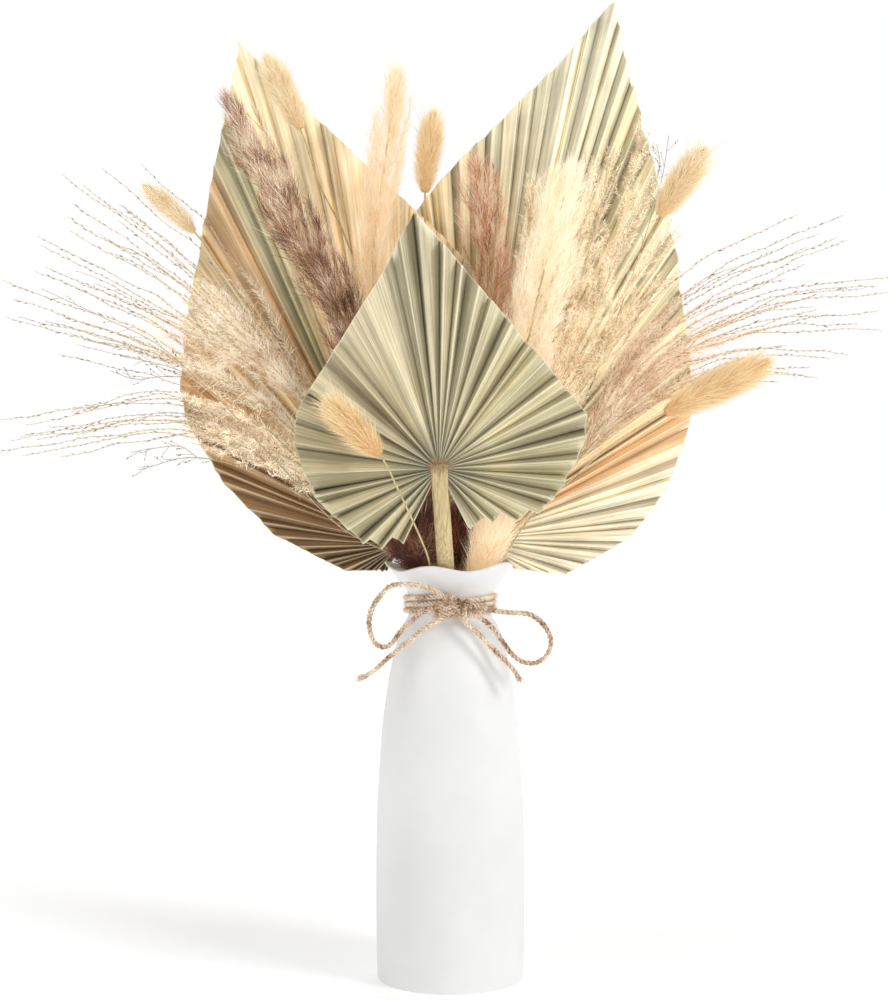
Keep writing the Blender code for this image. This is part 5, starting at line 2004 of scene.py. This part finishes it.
# Three seed twigs: wiry stems with a few hair-thin side twigs near the end, each with some small
# dark seeds on it.
TWIGS = {
    "seed_twig_left": {
        "neck": (-14.6, 1.6),
        "route": (
            (-22.0, 2.0, 199.0),
            (-52.0, -20.0, 216.0),
            (-84.0, -36.0, 250.0),
            (-118.0, -34.0, 284.0),
            (-153.0, -36.0, 295.0),
        ),
        "shoots": (
            (0.72, (-134.0, -38.0, 299.0), (-160.0, -42.0, 312.0), (-186.0, -46.0, 324.0), 0.5),
            (0.80, (-134.0, -31.0, 285.0), (-146.0, -29.0, 284.0), (-158.0, -27.0, 288.0), 0.5),
        ),
    },
    "seed_twig_low": {
        "neck": (-14.2, -5.4),
        "route": (
            (-21.4, -8.2, 199.0),
            (-54.0, -14.0, 221.0),
            (-90.0, -17.0, 240.0),
            (-120.0, -19.0, 248.0),
            (-146.0, -21.0, 242.0),
        ),
        "shoots": (
            (0.80, (-126.0, -24.0, 253.0), (-138.0, -27.0, 252.0), (-148.0, -30.0, 250.0), 0.5),
        ),
    },
    "seed_twig_right": {
        "neck": (14.2, 4.0),
        "route": (
            (21.3, 6.2, 199.0),
            (44.0, 18.0, 230.0),
            (72.0, 25.0, 290.0),
            (92.0, 26.0, 345.0),
            (104.0, 25.0, 384.0),
            (108.0, 24.0, 408.0),
        ),
        "shoots": (
            (0.84, (100.0, 22.0, 380.0), (103.0, 19.0, 392.0), (101.0, 16.0, 402.0), 0.5),
        ),
    },
}
TWIG_STALK = 0.6
SIDE_TWIGS = 9
seed_grains = husk_kit("seed", 0.5)
seed_finish = hair_material(
    "seeds", ((0.1, tint(84, 72, 58)), (0.5, tint(134, 118, 94)), (0.9, tint(184, 166, 134))), 0.0
)
twig_finish = straw_material("twig", tint(146, 128, 100), tint(200, 182, 148))

for name, shape in TWIGS.items():
    chooser = random.Random(name)
    path, mouth = stalk_path(shape)
    last = len(path) - 1
    radii = [TWIG_STALK + (0.16 - TWIG_STALK) * ease(i, mouth, last) for i in range(last + 1)]
    arms = [path[mouth + round((last - mouth) * 0.72) :]]
    for root, *points, _ in shape["shoots"]:
        start = path[mouth + round((last - mouth) * root)]
        arms.append(smooth_route([start, *points], SHOOT_STEP))
    sides = []
    for arm in arms:
        end = len(arm) - 1
        for number in range(SIDE_TWIGS):
            low = min(int(end * (0.15 + 0.85 * number / SIDE_TWIGS)), end - 1)
            ahead = (arm[low + 1] - arm[low]).normalized()
            stray = Vector(chooser.uniform(-1, 1) for _ in range(3))
            tip = arm[low] + (ahead + stray * 0.8).normalized() * chooser.uniform(3.5, 8.0)
            sides.append(smooth_route([arm[low], tip], 1.5))
    stems = [(path, [0.0] * len(path), radii)]
    stems += marked_lines(arms[1:], ((0.0, 0.0),), 0.22, 0.14, 0.0)
    stems += marked_lines(sides, ((0.0, 0.0),), 0.12, 0.1, 0.0)
    stalk = grow(
        line_object(name + "_stalk", stems), bare_stalk, {"Sides": 5, "Material": twig_finish}
    )
    settle(stalk, "seed_twig", name)
    grains = marked_lines(sides, ((0.0, 0.0), (0.45, 0.0), (0.5, 1.0), (1.0, 1.0)), 0.1, 0.1, 0.62)
    values = {
        "Hairs": seed_grains,
        "Spacing": 1.6 * MM,
        "Lean": 0.45,
        "Tip Lean": 0.45,
        "Core": 0.1,
        "Shortest": 0.7,
        "Stray": 0.2,
        "Seed": 80,
        "Material": seed_finish,
    }
    grains = line_object(name + "_seeds", grains, tuft=[0.5] * len(sides))
    settle(grow(grains, silky_hairs, values), "seed_twig")


# A plain pale floor and soft studio light: a big soft window at the right and in front, a wide
# fill at the left, and a bright pale room all round.
ROOM_LIGHT = 0.42
FLOOR_SIZE = 60.0


def soft_light(name, place, size, power):
    data = bpy.data.lights.new(name, "AREA")
    data.shape = "DISK"
    data.size = size
    data.energy = power
    made = bpy.data.objects.new(name, data)
    made.location = place
    toward = Vector((0, 0, 0.25)) - Vector(place)
    made.rotation_euler = toward.to_track_quat("-Z", "Y").to_euler()
    bpy.context.scene.collection.objects.link(made)


soft_light("window", (1.7, -1.2, 1.2), 0.8, 22)
soft_light("fill", (-1.6, -1.0, 0.9), 1.2, 9)
soft_light("back", (0.3, 1.6, 1.2), 1.4, 8)

world = bpy.data.worlds.new("room")
world.use_nodes = True
room = world.node_tree.nodes["Background"]
room.inputs["Color"].default_value = (1.0, 1.0, 1.0, 1.0)
room.inputs["Strength"].default_value = ROOM_LIGHT
seen = wire(world.node_tree, "ShaderNodeLightPath").outputs["Is Camera Ray"]
bright = reckon(world.node_tree, "MULTIPLY_ADD", seen, 1.0 - ROOM_LIGHT)
bright.node.inputs[2].default_value = ROOM_LIGHT
world.node_tree.links.new(bright, room.inputs["Strength"])
bpy.context.scene.world = world

floor_data = bpy.data.meshes.new("floor")
half = FLOOR_SIZE / 2
corners = [(-half, -half, 0), (half, -half, 0), (half, half, 0), (-half, half, 0)]
floor_data.from_pydata(corners, [], [(0, 1, 2, 3)])
floor = bpy.data.objects.new("floor", floor_data)
bpy.context.scene.collection.objects.link(floor)
pale, pale_tree, pale_surface = blank_material("pale floor with painted glow", 0.8)
pale_surface.inputs["Base Color"].default_value = (0.9, 0.9, 0.9, 1.0)
# Painted light: the floor glows, faintly near the vase and fully from 0.9 m out, so that it fades into
# the white backdrop while the soft shadow near the vase stays.
spot = wire(pale_tree, "ShaderNodeTexCoord").outputs["Object"]
away = wire(pale_tree, "ShaderNodeVectorMath", {0: spot}, operation="LENGTH").outputs["Value"]
settings = {"Value": away, "From Min": 0.15, "From Max": 0.9, "To Min": 0.42, "To Max": 1.0}
lit = wire(pale_tree, "ShaderNodeMapRange", settings).outputs[0]
lit = ramp(pale_tree, lit, ((0.0, (0.0, 0.0, 0.0)), (1.0, (1.0, 1.0, 1.0))), smooth=False)
pale_tree.links.new(lit, pale_surface.inputs["Emission Color"])
pale_surface.inputs["Emission Strength"].default_value = 0.7
floor_data.materials.append(pale)
